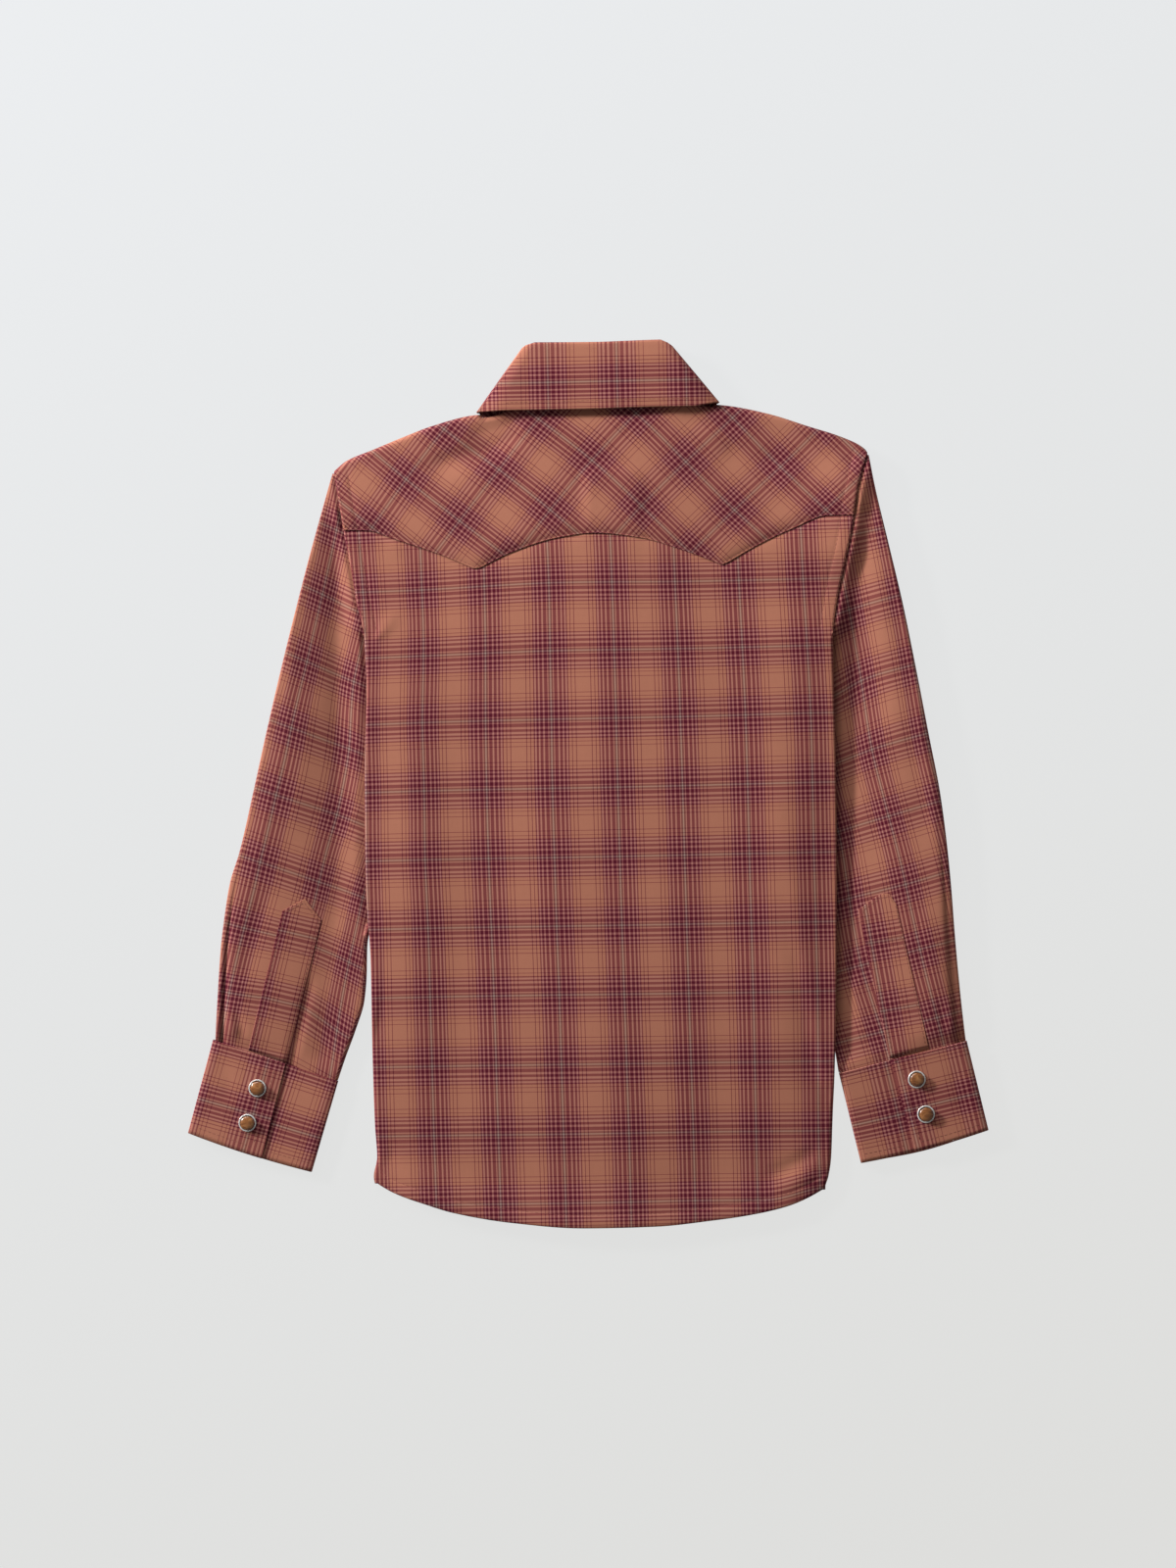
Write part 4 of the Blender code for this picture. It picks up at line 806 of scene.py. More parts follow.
def build_yoke():
    near = edge_columns(YOKE_WIDTH)
    left = np.concatenate((near, spread(near[-1], 22, YOKE_NECK[0])[1:]))
    right = 1 - np.concatenate((near, spread(near[-1], 22, 1 - YOKE_NECK[1])[1:]))[::-1]
    columns = np.concatenate((left, spread(YOKE_NECK[0], 40, YOKE_NECK[1])[1:-1], right))
    fold = meet(columns, shoulder_y, 210.0)
    off_neck = np.minimum(columns - YOKE_NECK[0], YOKE_NECK[1] - columns)
    x = across_body(columns, fold)
    thick = flat_back_top(x, fold) + YOKE_LIFT - front_lift(x, fold - 6.0)
    radius = thick / 2 * soft_step(1 - off_neck / 0.05)
    low = meet(columns, yoke_edge_y, 150.0)
    steps = (0.0, 0.5, 1.0, 1.5, 2.1, 3.2, 5.0, 7.5, 10.0)
    levels = [low + step for step in steps]
    levels += [mix(low + steps[-1], fold - radius, share) for share in spread(0, 24, 1)[1:]]
    y = np.array(levels)
    x = across_body(np.broadcast_to(columns, y.shape), y)
    by_fold = flat_back_top(x, y) + YOKE_LIFT
    top = on_grid(x, y, mix(by_fold, yoke_top(x, y), soft_step((fold - radius - y) / 8.0)))
    grids = [(top, grain_at("yoke", x, y))]
    for chosen, side in zip((columns <= YOKE_NECK[0], columns >= YOKE_NECK[1]), SIDES):
        grids.append(yoke_shoulder(side, columns[chosen], top[-1, chosen], radius[chosen], fold[chosen]))
    return cloth("back_yoke", grids, wall=YOKE_WALL)


def yoke_shoulder(side, share, start, radius, fold):
    """The yoke from its last row on the back, over a shoulder's fold and down the front."""
    middle, wide = start[:, 2] - radius, across_body(share, fold)
    places, repeats = [start], [grain_at("yoke", start[:, 0], start[:, 1])]
    for angle in DOWN_ROUND[1:]:
        y = fold - radius + radius * math.cos(angle)
        places.append(on_grid(wide, y, middle + radius * math.sin(angle)))
        repeats.append(grain_at("yoke", wide, start[:, 1] + radius * (QUARTER - angle)))
    along = share / YOKE_NECK[0] if side == "left" else (1 - share) / (1 - YOKE_NECK[1])
    for drop in spread(0.25, 4, 1.0):
        lower = front_shoulder(side, along, drop)
        places.append(lower)
        gone = math.pi * radius + SHOULDER_DROP * drop - radius
        repeats.append(grain_at("yoke", lower[:, 0], start[:, 1] + gone))
    return np.stack(places, 0), np.stack(repeats, 0)


def build_front(side):
    edge, sign = BODY_EDGE[side], INWARD[side]
    inner_x = CENTRE_X - BAND_WIDTH / 2 - GAP if side == "left" else CENTRE_X - UNDERLAP
    chest_y = 156.0
    shoulder_seam = straight_route(front_shoulder(side, np.linspace(0, 1, 9), 1.0)[:, :2] - (0, GAP))
    seam_end = shoulder_seam(1.0)
    starts, ends = (math.acos(float((CENTRE_X - x) / NECK_HALF_WIDTH)) / math.pi
                    for x in (seam_end[0], inner_x))
    neck = [neck_front(mix(starts, ends, k / 5)) for k in range(1, 6)]
    neck_line = route([seam_end, *neck, (inner_x, chest_y)])
    armhole_foot = np.array((float(edge(chest_y)), chest_y))
    armhole = route([mix(shoulder_seam(0.0), armhole_foot, k / 2) for k in range(3)])
    chest = route([(mix(armhole_foot[0], inner_x, k / 4), chest_y) for k in range(5)])
    upper = patch(shoulder_seam, chest, armhole, neck_line)
    across = spread(0, 30, 1)
    s, t = np.meshgrid(spread(0, 12, 1), across, indexing="ij")
    rows = [upper(s, t)]
    levels = np.concatenate((np.linspace(chest_y - 5, UNDERARM_Y + 2, 12), [UNDERARM_Y + GAP],
                             np.linspace(UNDERARM_Y - 6, SIDE_HEM_Y, 50)))
    for y in levels:
        seam = sign * (SIDE_SEAM_IN + GAP) if y <= UNDERARM_Y + 1 else 0.0
        rows.append(np.stack((mix(edge(y) + seam, inner_x, across), np.full_like(across, y)), -1)[None])
    corner_y = float(meet(0.0 if side == "left" else 1.0, hem_y, -250.0))
    seam_x = float(edge(corner_y)) + sign * (SIDE_SEAM_IN + GAP)
    hem_x = mix(seam_x, inner_x, across)
    hem = hem_y(hem_x) + HEM_RISE + HEM_SIDE_RISE * soft_step(1 - np.abs(hem_x - seam_x) / 50.0)
    last = rows[-1][0]
    for share in spread(0.2, 4, 1.0):
        rows.append(mix(last, np.stack((hem_x, hem), -1), share)[None])
    plan = np.concatenate(rows)
    x, y = plan[..., 0], plan[..., 1]
    inset = np.minimum(np.minimum(sign * (x - x[:, :1]), sign * (x[:, -1:] - x)), 20.0)
    z = lift_over(FRONT_PADS[side], x, y) + np.abs(ripple(x, y, 2.2 + sign)) * soft_step(inset / 15.0)
    grid = on_grid(x, y, z), straight_grain(x, y, (CENTRE_X + 12.0, -1.5))
    return cloth("front_panel_" + side, [grid if side == "left" else flipped(grid)])


def build_band():
    along, across = np.meshgrid(spread(0, 90, 1), spread(0, 6, 1), indexing="ij")
    x = CENTRE_X + BAND_WIDTH * (across - 0.5)
    top = neck_front(np.arccos((CENTRE_X - x) / NECK_HALF_WIDTH) / math.pi)[..., 1] - GAP
    y = mix(top, hem_y(x) + HEM_RISE, along)
    grid = on_grid(x, y, BAND_LIFT + 0.0 * x), straight_grain(x, y, (CENTRE_X, -1.5))
    return cloth("snap_band", [grid])


def collar_lines(points, count):
    """Roll and edge places along a stretch of the collar, from a few of its rows."""
    points = np.array(points, float)
    shares = length_shares(points[:, 2:])
    dense = np.linspace(0, 1, count)
    return np.stack([smooth_line(shares, points[:, k])(dense) for k in range(4)], -1)


CollarColumn = namedtuple("CollarColumn", "roll edge normal height kind place reach girth", defaults=[0.0])


def side_columns(side, first, inner):
    """One side's columns, from its front point to its fold's top, and the way out from the fold."""
    slant = first[:2] - first[2:]
    out = np.array((-slant[1], slant[0])) * INWARD[side]
    out /= np.hypot(*out)
    ways = [(inner[k:k + 2] - first[k:k + 2]) for k in (0, 2)]
    along_roll, along_edge = (way / abs(way @ out) for way in ways)
    front = collar_lines(LEAF_FRONT[side], 22)
    made = []
    for k, run in reversed(list(enumerate(run_along(front[:, 2:])))):
        made.append(CollarColumn(front[k, :2], front[k, 2:], np.array((0, 0, -1.0)), 0.0, side,
                                 k / (len(front) - 1), LEAF_FOLD_GIRTH + run))
    for k, angle in enumerate(UP_ROUND):
        inward = LEAF_FOLD_DEPTH * (1 - math.cos(angle))
        normal = np.array((*(out * math.cos(angle)), math.sin(angle)))
        made.append(CollarColumn(first[:2] + along_roll * inward, first[2:] + along_edge * inward, normal,
                                 LEAF_TOP * (1 + math.sin(angle)) / 2, side, -1.0,
                                 LEAF_FOLD_GIRTH * (1 - k / FOLD_STEPS)))
    return made, out


def collar_columns():
    """The collar's columns all round, and each side's last one before the back with its way out."""
    back = collar_lines(LEAF_BACK, 41)
    run = run_along(back[:, 2:])
    left, left_out = side_columns("left", back[0], back[4])
    right, right_out = side_columns("right", back[-1], back[-5])
    middle = [CollarColumn(row[:2], row[2:], np.array((0, 0, 1.0)), LEAF_TOP, "back",
                           k / (len(back) - 1), 0.0, run[k])
              for k, row in enumerate(back) if 3 < k < len(back) - 4]
    turns = {"left": (left[-1], left_out), "right": (right[-1], right_out)}
    left = [col._replace(girth=-col.reach) for col in left]
    right = [col._replace(girth=run[-1] + col.reach) for col in reversed(right)]
    return left + middle + right, turns


COLLAR, LEAF_TURN = collar_columns()


COLLAR_CREASES = [
    Crease([(-56, 236), (-20, 238), (20, 237)], 7.0, -0.35),
    Crease([(10, 262), (40, 262), (50, 256)], 8.0, 0.3),
    Crease([(58, 262), (64, 248), (76, 238)], 5.0, -0.4),
]


def leaf_slope(col):
    return np.array((*(col.roll - col.edge), 0.0)) / np.hypot(*(col.roll - col.edge))


def leaf_face(col, down):
    """A place on the leaf's outer face, so far down from its roll to its edge."""
    start = col.roll - leaf_slope(col)[:2] * LEAF_ROLL
    place = np.array((*mix(start, col.edge, down), col.height))
    corner = 1.0 if col.kind != "back" else float(soft_step(1 - min(col.place, 1 - col.place) / 0.12))
    fall = LEAF_CORNER_FALL * corner * float(soft_step((down - 0.55) / 0.45)) * col.height / LEAF_TOP
    if col.kind == "back":
        fall += LEAF_EDGE_FALL * float(soft_step((down - 0.8) / 0.2))
        place[2] += float(relief(COLLAR_CREASES, place[0], place[1]) * soft_step(down / 0.25))
    place[2] -= fall
    return place


def leaf_roll(col, angle):
    inward = LEAF_ROLL * (1 - math.cos(angle))
    return leaf_face(col, 0) + leaf_slope(col) * LEAF_ROLL * math.sin(angle) - col.normal * inward


def collar_grain(col, unrolled):
    """The collar is cut along its length: the pale warp line runs round it, the weft lines cross it.

    unrolled gives the place in plan of any column in this row, as if the leaf lay open.
    """
    if col.kind == "back":
        return straight_grain(*unrolled(col)[:2], *LEAF_GRAIN, warp_across=False)
    last, out = LEAF_TURN[col.kind]
    place = unrolled(last)[:2] + out * min(col.reach, LEAF_FOLD_GIRTH)
    onwards = -INWARD[col.kind] * max(col.reach - LEAF_FOLD_GIRTH, 0.0) / WEFT_REPEAT
    return straight_grain(*place, *LEAF_GRAIN, warp_across=False) + (0.0, onwards)


def build_leaf():
    rows, repeats = [], []
    for down in spread(1, 3, 0.93, 14, 0):
        rows.append([leaf_face(col, down) for col in COLLAR])
        repeats.append([collar_grain(col, lambda c: leaf_face(c, down)) for col in COLLAR])
    for angle in arc_angles(0, math.pi)[1:]:
        gone = LEAF_ROLL * angle
        rows.append([leaf_roll(col, angle) for col in COLLAR])
        repeats.append([collar_grain(col, lambda c: leaf_face(c, 0) + leaf_slope(c) * gone)
                        for col in COLLAR])
    rows.append([leaf_roll(col, math.pi) - leaf_slope(col) * LEAF_TAIL for col in COLLAR])
    repeats.append(repeats[-1])
    return cloth("collar", [(np.array(rows), np.array(repeats))])


def stand_seam(col):
    """Where the stand is sewn to the neck, for a column of the collar."""
    if col.kind == "back":
        x = mix(STAND_NECK["left"][0], STAND_NECK["right"][0], col.place)
        y = float(shoulder_y(x)) + GAP
        return np.array((x, y, float(flat_back_top(x, y)) + YOKE_LIFT))
    if col.place < 0:
        x, y = STAND_NECK[col.kind]
        high = float(flat_back_top(x, y)) + YOKE_LIFT
        lift = col.height / LEAF_TOP
        x += INWARD[col.kind] * 1.5 * abs(2 * lift - 1)
        return np.array((x, y - 2.0 + 2.4 * lift, mix(STAND_FOOT, high, lift)))
    point = neck_front(mix(*STAND_FRONT[col.kind], col.place))
    inward = np.array((CENTRE_X, float(shoulder_y(CENTRE_X)))) - point
    x, y = point + inward / np.hypot(*inward) * NECK_EASE
    return np.array((x, y, mix(STAND_FOOT, BAND_LIFT, col.place)))


def build_stand():
    rows, repeats = [], []
    for share in spread(0, 8, 1):
        row = []
        for col in COLLAR:
            top = leaf_roll(col, 0) - leaf_slope(col) * (LEAF_TAIL + 2 * GAP)
            row.append(mix(top - col.normal * (2 * LEAF_ROLL - CLOTH), stand_seam(col), share))
        rows.append(row)
        repeats.append([(0.3 + share * 0.7, col.girth / WEFT_REPEAT) for col in COLLAR])
    return cloth("collar_band", [(np.array(rows)[::-1], np.array(repeats)[::-1])])


SLEEVE_CREASES = {
    "left": [
        Crease([(-158, 120), (-152, 70), (-150, 20), (-148, -30)], 7.0, -0.5),
        Crease([(-172, 60), (-176, 10), (-182, -40)], 9.0, 0.4),
        Crease([(-196, -60), (-206, -96), (-212, -130)], 6.0, -0.4),
        Crease([(-150, -70), (-152, -110), (-160, -150)], 6.0, 0.5),
        Crease([(-222, -136), (-219, -147), (-215, -156)], 2.6, 0.8),
        Crease([(-216, -134), (-213, -146), (-210, -158)], 2.2, -0.6),
        Crease([(-168, -112), (-174, -138), (-180, -162), (-184, -178)], 3.2, -0.9),
    ],
    "right": [
        Crease([(176, 150), (180, 100), (186, 50), (190, 0)], 9.0, 0.5),
        Crease([(196, 60), (202, 10), (206, -40)], 7.0, -0.4),
        Crease([(172, 20), (176, -40), (182, -62)], 8.0, -0.4),
        Crease([(206, -70), (210, -110), (214, -140)], 5.0, 0.4),
        Crease([(160, -110), (166, -140), (170, -165)], 5.0, 0.5),
        Crease([(214, -132), (217, -144), (219, -154)], 2.6, -0.6),
    ],
}


class Sleeve:
    """A sleeve in plan and height: its sheet, the same for both layers, and its top height anywhere."""

    def __init__(self, side):
        self.side, self.sign, self.edge = side, INWARD[side], BODY_EDGE[side]
        self.full, self.pleat = FULLNESS[side], PLEAT[side]
        outer, inner = SLEEVE_OUTER[side], SLEEVE_INNER[side]
        self.foot_inner, foot_outer = np.array(inner[-1]), np.array(outer[-1])
        foot = route([mix(self.foot_inner, foot_outer, k / 2) for k in range(3)])
        self.sheet = patch(route(armhole_points(side)), foot, route(inner), route(outer))
        self.foot_width = far_apart(foot_outer, self.foot_inner)
        self.foot_way = (foot_outer - self.foot_inner) / self.foot_width
        self.foot_up = self.sign * np.array((self.foot_way[1], -self.foot_way[0]))
        self.body = self.beside_body(ARMHOLE_CORNER_Y, 60, 20, -20, -60, -100, -140, -180, -244)
        self.armhole = self.beside_body(100, 115, 130, 145, 160, 175, 200)
        self.outer_edge, self.inner_edge = self.thin_line(outer, -0.01), self.thin_line(inner, 0.01)
        self.valley_x = line_through(VALLEY_LINE[side])

    def beside_body(self, *levels):
        """The outline of the body beside the sleeve, between its first and last levels."""
        edge = [(float(self.edge(y)), y) for y in levels]
        return Outline(edge + [(CENTRE_X, levels[-1]), (CENTRE_X, levels[0])])

    def thin_line(self, points, inwards):
        return Outline(points + [(x + self.sign * inwards, y) for x, y in reversed(points)])

    def tucked(self, y):
        """Height of the sleeve where it is sewn in under the body's edge."""
        up = y - yoke_edge_y(self.edge(y))
        on_yoke = YOKE_LIFT * soft_step((up - YOKE_LAP - 1) / 6)
        return flat_back_top(self.edge(y), y) - WALL - GAP + on_yoke

    def full_form(self, x, y):
        """The sleeve's own form: its full outer fold, its valley and the strip that climbs to the body."""
        full = self.full
        inset = self.outer_edge.clearance(x, y)
        out = self.sign * (self.valley_x(y) - x)
        run = np.maximum(out, 0) + np.maximum(inset - full.crest_inset, 0)
        valley = full.valley + full.top_rise * soft_step((y - 60.0) / 90.0)
        crest = valley + np.minimum(SLEEVE_CREST - valley, CREST_SLOPE * run + 1.2)
        eased = (out + np.sqrt(out**2 + 9.0)) / 2
        share = np.clip(eased / (run + 1.5), 0, 1)
        climbing = mix(valley, crest, share * (1.5 - 0.5 * share))
        form = climbing + full.strip_rise * soft_step(-out / 16.0)
        at_fold = np.minimum(2 * full.fold, form)
        return mix(at_fold, form, soft_step((inset - full.fold * full.squash) / (full.crest_inset - 1.2)))

    def above_cuff(self, x, y):
        return (x - self.foot_inner[0]) * self.foot_up[0] + (y - self.foot_inner[1]) * self.foot_up[1]

    def cuff_level(self, x, y):
        """Height of the cuff's top edge beside the sleeve's foot."""
        along = (x - self.foot_inner[0]) * self.foot_way[0] + (y - self.foot_inner[1]) * self.foot_way[1]
        past_edge = along / self.foot_width - CUFF[self.side].overlap_top
        pressed = 0.35 * bell(self.above_cuff(x, y), 0.9)
        return mix(CUFF_INNER_HEIGHT, CUFF_HEIGHT, soft_step(past_edge / 0.04 + 0.5)) - 0.1 - pressed

    def into_cuff(self, row, reach):
        """The sleeve's last row again, pressed together and pushed in under the cuff."""
        share = ((row[:, :2] - self.foot_inner) @ self.foot_way) / self.foot_width
        pinch = (CUFF_LAYER + 0.25) / self.foot_width
        moved = (np.clip(share, pinch, 1 - pinch) - share) * self.foot_width
        plan = row[:, :2] + moved[:, None] * self.foot_way - reach * self.foot_up
        covered = share < CUFF[self.side].overlap_top + UNDERLAP_SHARE
        highest = np.where(covered, CUFF_INNER_HEIGHT, CUFF_HEIGHT) - CUFF_LAYER - 0.15
        return np.column_stack((plan, np.clip(row[:, 2], CUFF_LAYER + 0.1, highest)))

    def top_height(self, x, y):
        """Height of the upper layer, before its creases."""
        full = self.full
        inner_inset = self.inner_edge.clearance(x, y)
        off_fold = soft_step((inner_inset - SLEEVE_INNER_FOLD) / 20.0)
        by_inner_fold = mix(2 * SLEEVE_INNER_FOLD, SLEEVE_LIMIT, off_fold)
        under_body = mix(min(SLEEVE_UNDER, full.valley + full.strip_rise), SLEEVE_LIMIT,
                         soft_step((self.body.clearance(x, y) - 0.5) / 9))
        out = self.armhole.clearance(x, y)
        up = y - yoke_edge_y(self.edge(y))
        beside = flat_back_top(self.edge(y), y) + YOKE_LIFT * soft_step(up / 6) + full.puff
        by_armhole = mix(self.tucked(y), beside, soft_step(out / 3.0))
        free = np.minimum(np.minimum(self.full_form(x, y), by_inner_fold), under_body)
        hung = mix(by_armhole, free, soft_step((out - 1.0) / full.head_run))
        return mix(hung, self.cuff_level(x, y), soft_step(1 - self.above_cuff(x, y) / CUFF_TAPER))

    def loose(self, x, y):
        """Creases and ripple, only where the sleeve lies free."""
        inset = np.minimum(self.outer_edge.clearance(x, y), self.inner_edge.clearance(x, y))
        free = soft_step((inset - 3) / 8) * soft_step((self.body.clearance(x, y) - 2) / 5)
        free = free * soft_step((self.armhole.clearance(x, y) - 2) / 8)
        free = free * soft_step(self.above_cuff(x, y) / 5)
        return (relief(SLEEVE_CREASES[self.side], x, y) + ripple(x, y, 3.1)) * free

    def top(self, x, y):
        return self.top_height(x, y) + self.loose(x, y)

    def grain(self, s, t):
        return grain_at("sleeve_" + self.side, *self.sheet(s, t))

    def fold_radius(self, s, t, radius):
        return float(np.minimum(2 * radius, self.top_height(*self.sheet(s, t)))) / 2

    def row(self, s, mouth):
        """Places and repeats once round the sleeve, so far down it, from the mouth's shares onwards."""
        sheet, full, pleat = self.sheet, self.full, self.pleat
        width = far_apart(sheet(s, 1), sheet(s, 0))
        depth = pleat.depth * float(soft_step((s - pleat.start) / (0.95 - pleat.start)))
        big = self.fold_radius(s, 1 - full.fold * full.squash / width, full.fold) - depth * pleat.drop / 2
        small = self.fold_radius(s, SLEEVE_INNER_FOLD / width, SLEEVE_INNER_FOLD)
        deep, half_turn = big * full.squash, math.pi * big
        outer_grain = self.grain(s, 1 - deep / width)
        drift = (outer_grain - self.grain(s, 1 - (deep + 6) / width)) / 6
        row, grain = [], []

        def add(place, height, away):
            row.append((*place, height))
            grain.append(outer_grain + drift * away)

        def add_under(share):
            place = sheet(s, share)
            add(place, 0.0, half_turn + far_apart(place, sheet(s, 1.0)) - big)

        for share in mouth:
            add_under(share)
        for angle in UP_ROUND:
            add(sheet(s, 1 - deep * (1 - math.cos(angle)) / width), big * (1 + math.sin(angle)),
                big * (QUARTER - angle))
        near = 1 - pleat.inset * np.array(PLEAT_STEPS) / width
        across = np.concatenate((near, spread(float(near[-1]), 40, small / width)[1:]))
        places = sheet(np.full_like(across, s), across)
        heights = self.top(places[:, 0], places[:, 1])
        dips = np.array(PLEAT_DIPS)
        dips[:2] = mix(dips[:2], 1.0, pleat.drop)
        heights[:len(near)] -= dips * depth
        row += [(*place, height) for place, height in zip(places, heights)]
        grain += list(grain_at("sleeve_" + self.side, places[:, 0], places[:, 1]))
        for angle in DOWN_ROUND:
            add(sheet(s, small * (1 - math.cos(angle)) / width), small * (1 + math.sin(angle)),
                half_turn + width + small * (QUARTER + angle))
        add_under(mouth[0])
        return row, grain

    def sewn_in(self, row):
        """The mouth's row again, moved in under the body's edge."""
        row = row.copy()
        share = soft_step((row[:, 1] - UNDERARM_Y + 5.0) / 6.0)
        row[:, 0] += self.sign * SEWN_IN * share
        lowest = front_lift(row[:, 0] + self.sign * 2.0, row[:, 1]) + CLOTH + GAP
        between = np.clip(row[:, 2], lowest, np.maximum(self.tucked(row[:, 1]), lowest))
        row[:, 2] = mix(row[:, 2], between, share)
        return row


SLEEVES = {side: Sleeve(side) for side in SIDES}


def build_sleeve(side):
    sleeve = SLEEVES[side]
    corner = length_shares(armhole_points(side))[2]
    mouth = spread(corner / 3, 6, corner, 20, 0.985)
    made = [sleeve.row(s, mouth) for s in spread(0, 5, 0.02, 100, 1)]
    rows, repeats = (np.array(part) for part in zip(*made))
    inside = sleeve.into_cuff(rows[-1], 0.4)
    tail = [np.column_stack((inside[:, :2], rows[-1][:, 2])), sleeve.into_cuff(rows[-1], 1.3),
            sleeve.into_cuff(rows[-1], 3.0)]
    down_arm = (repeats[-1] - repeats[-2]) / far_apart(sleeve.sheet(1.0, 0.5), sleeve.sheet(0.99, 0.5))
    tail_grain = [repeats[-1] + down_arm * reach for reach in (0.3, 1.4, 3.8)]
    grid = (np.concatenate(([sleeve.sewn_in(rows[0])], rows, tail)),
            np.concatenate((repeats[:1], repeats, tail_grain)))
    return cloth("sleeve_" + side + "_cloth", [grid if side == "right" else flipped(grid)])


def placket_place(side, across, down):
    """A place on a placket: across from its inner to its outer edge, down from its point to its foot."""
    tip, outer, inner, outer_foot, inner_foot = (np.array(p, float) for p in PLACKET[side][:5])
    rise = min(1.0, (1 - abs(2 * across - 1)) * (1 + PLACKET[side].blunt))
    top = mix(inner, outer, across) + (tip - mix(inner, outer, 0.5)) * rise
    return mix(top, mix(inner_foot, outer_foot, across), down)


def on_placket(side, plan):
    """Places on a placket's face, from their places in plan."""
    x, y = plan[..., 0], plan[..., 1]
    return on_grid(x, y, SLEEVES[side].top(x, y) + PLACKET_LIFT)


def build_placket(side):
    downs, shares = spread(0, 1, 0.004, 36, 1), spread(0, 1, 0.013, 12, 0.987, 1, 1)
    plan = np.array([[placket_place(side, across, down) for down in downs] for across in shares])
    grid = on_placket(side, plan), straight_grain(plan[..., 0], plan[..., 1], *PLACKET_GRAIN[side])
    return cloth("placket_" + side, [grid if side == "right" else flipped(grid)], wall=PLACKET_WALL)


CUFF_CREASES = {
    "left": [Crease([(-226, -166), (-220, -182), (-222, -200)], 4.0, -0.3),
             Crease([(-200, -172), (-206, -190)], 3.0, 0.25)],
    "right": [Crease([(190, -186), (200, -188), (212, -186)], 4.0, 0.3),
              Crease([(222, -170), (228, -190), (232, -206)], 4.0, -0.3)],
}


def cuff_line(side, down):
    """The ends of a line round the cuff, so far down it, and how its middle bows."""
    cuff = CUFF[side]
    top_inner, top_outer, low_inner, low_outer = (np.array(p, float) for p in cuff[:4])
    bow = cuff_way_down(side) * cuff.bow * down
    return mix(top_inner, low_inner, down), mix(top_outer, low_outer, down), bow


def cuff_way_down(side):
    way = np.array(CUFF[side].low_inner) - np.array(CUFF[side].top_inner)
    return way / np.hypot(*way)


def cuff_place(side, share, down):
    inner, outer, bow = cuff_line(side, down)
    return mix(inner, outer, share) + bow * 4 * share * (1 - share)


def cuff_grain(side, place):
    return straight_grain(*place, *CUFF_GRAIN[side], warp_across=False)


def cuff_row(side, down):
    """Places and repeats once round a cuff, so far down it, from the overlap's edge to the underlap's."""
    cuff = CUFF[side]
    inner, outer, _ = cuff_line(side, down)
    overlap = mix(cuff.overlap_top, cuff.overlap_low, down)
    width = far_apart(outer, inner)
    big, small = CUFF_HEIGHT / 2, CUFF_INNER_HEIGHT / 2
    deep, shallow, turned = big * CUFF_SQUASH, small * CUFF_SQUASH, math.pi * big
    edge_grain = cuff_grain(side, mix(inner, outer, 1 - deep / width))
    row, grain = [], []

    def add_top(share, height):
        place = cuff_place(side, share, down)
        free = float(soft_step(min(down, 1 - down) / 0.1))
        row.append((*place, height + float(relief(CUFF_CREASES[side], *place)) * free))
        grain.append(cuff_grain(side, place))

    def add(share, height, gone):
        """A place that lies so far round the cuff from where its outer fold begins."""
        place = cuff_place(side, share, down)
        if height == 0.0:
            shown = float(soft_step((down - 0.8) / 0.2)) * math.sin(math.pi * min(max(share, 0.0), 1.0)) ** 2
            place = place + cuff_way_down(side) * CUFF_MOUTH[side] * shown
        row.append((*place, height))
        grain.append(edge_grain + (0.0, -INWARD[side] * gone / WEFT_REPEAT))

    for k in (0, 0.06, *range(1, 17)):
        dropped = CUFF_EDGE_DROP[side] * float(soft_step(1 - k / 1.5))
        add_top(mix(overlap, 1 - deep / width, k / 16), CUFF_HEIGHT - dropped)
    for angle in DOWN_ROUND[1:]:
        add(1 - deep * (1 - math.cos(angle)) / width, big * (1 + math.sin(angle)), big * (QUARTER - angle))
    for k in range(1, 16):
        share = mix(1 - deep / width, shallow / width, k / 16)
        add(share, 0.0, turned + (1 - share) * width)
    for angle in UP_ROUND:
        add(shallow * (1 - math.cos(angle)) / width, small * (1 + math.sin(angle)),
            turned + width + small * (angle + QUARTER))
    for k in range(1, 15):
        share = mix(shallow / width, overlap + UNDERLAP_SHARE, k / 14)
        add(share, CUFF_INNER_HEIGHT, turned + width + math.pi * small + share * width)
    return row, grain


def build_cuff(side):
    made = [cuff_row(side, down) for down in spread(0, 3, 0.03, 21, 1)]
    grid = tuple(np.array(part) for part in zip(*made))
    return cloth("cuff_" + side + "_cloth", [grid if side == "left" else flipped(grid)], wall=CUFF_LAYER)


# ---- materials -------------------------------------------------------------------------------


class Wire:
    """A socket of values, so that an expression on it adds the Math nodes."""

    def __init__(self, shop, socket):
        self.shop, self.socket = shop, socket

    def maths(self, operation, *values):
        return self.shop.node("ShaderNodeMath", {"operation": operation}, list(values))

    def own(self, operation):
        return self.maths(operation, self)

    def __add__(self, other):
        return self.maths("ADD", self, other)

    def __sub__(self, other):
        return self.maths("SUBTRACT", self, other)

    def __mul__(self, other):
        return self.maths("MULTIPLY", self, other)

    def __rsub__(self, other):
        return self.maths("SUBTRACT", other, self)

    __radd__, __rmul__ = __add__, __mul__


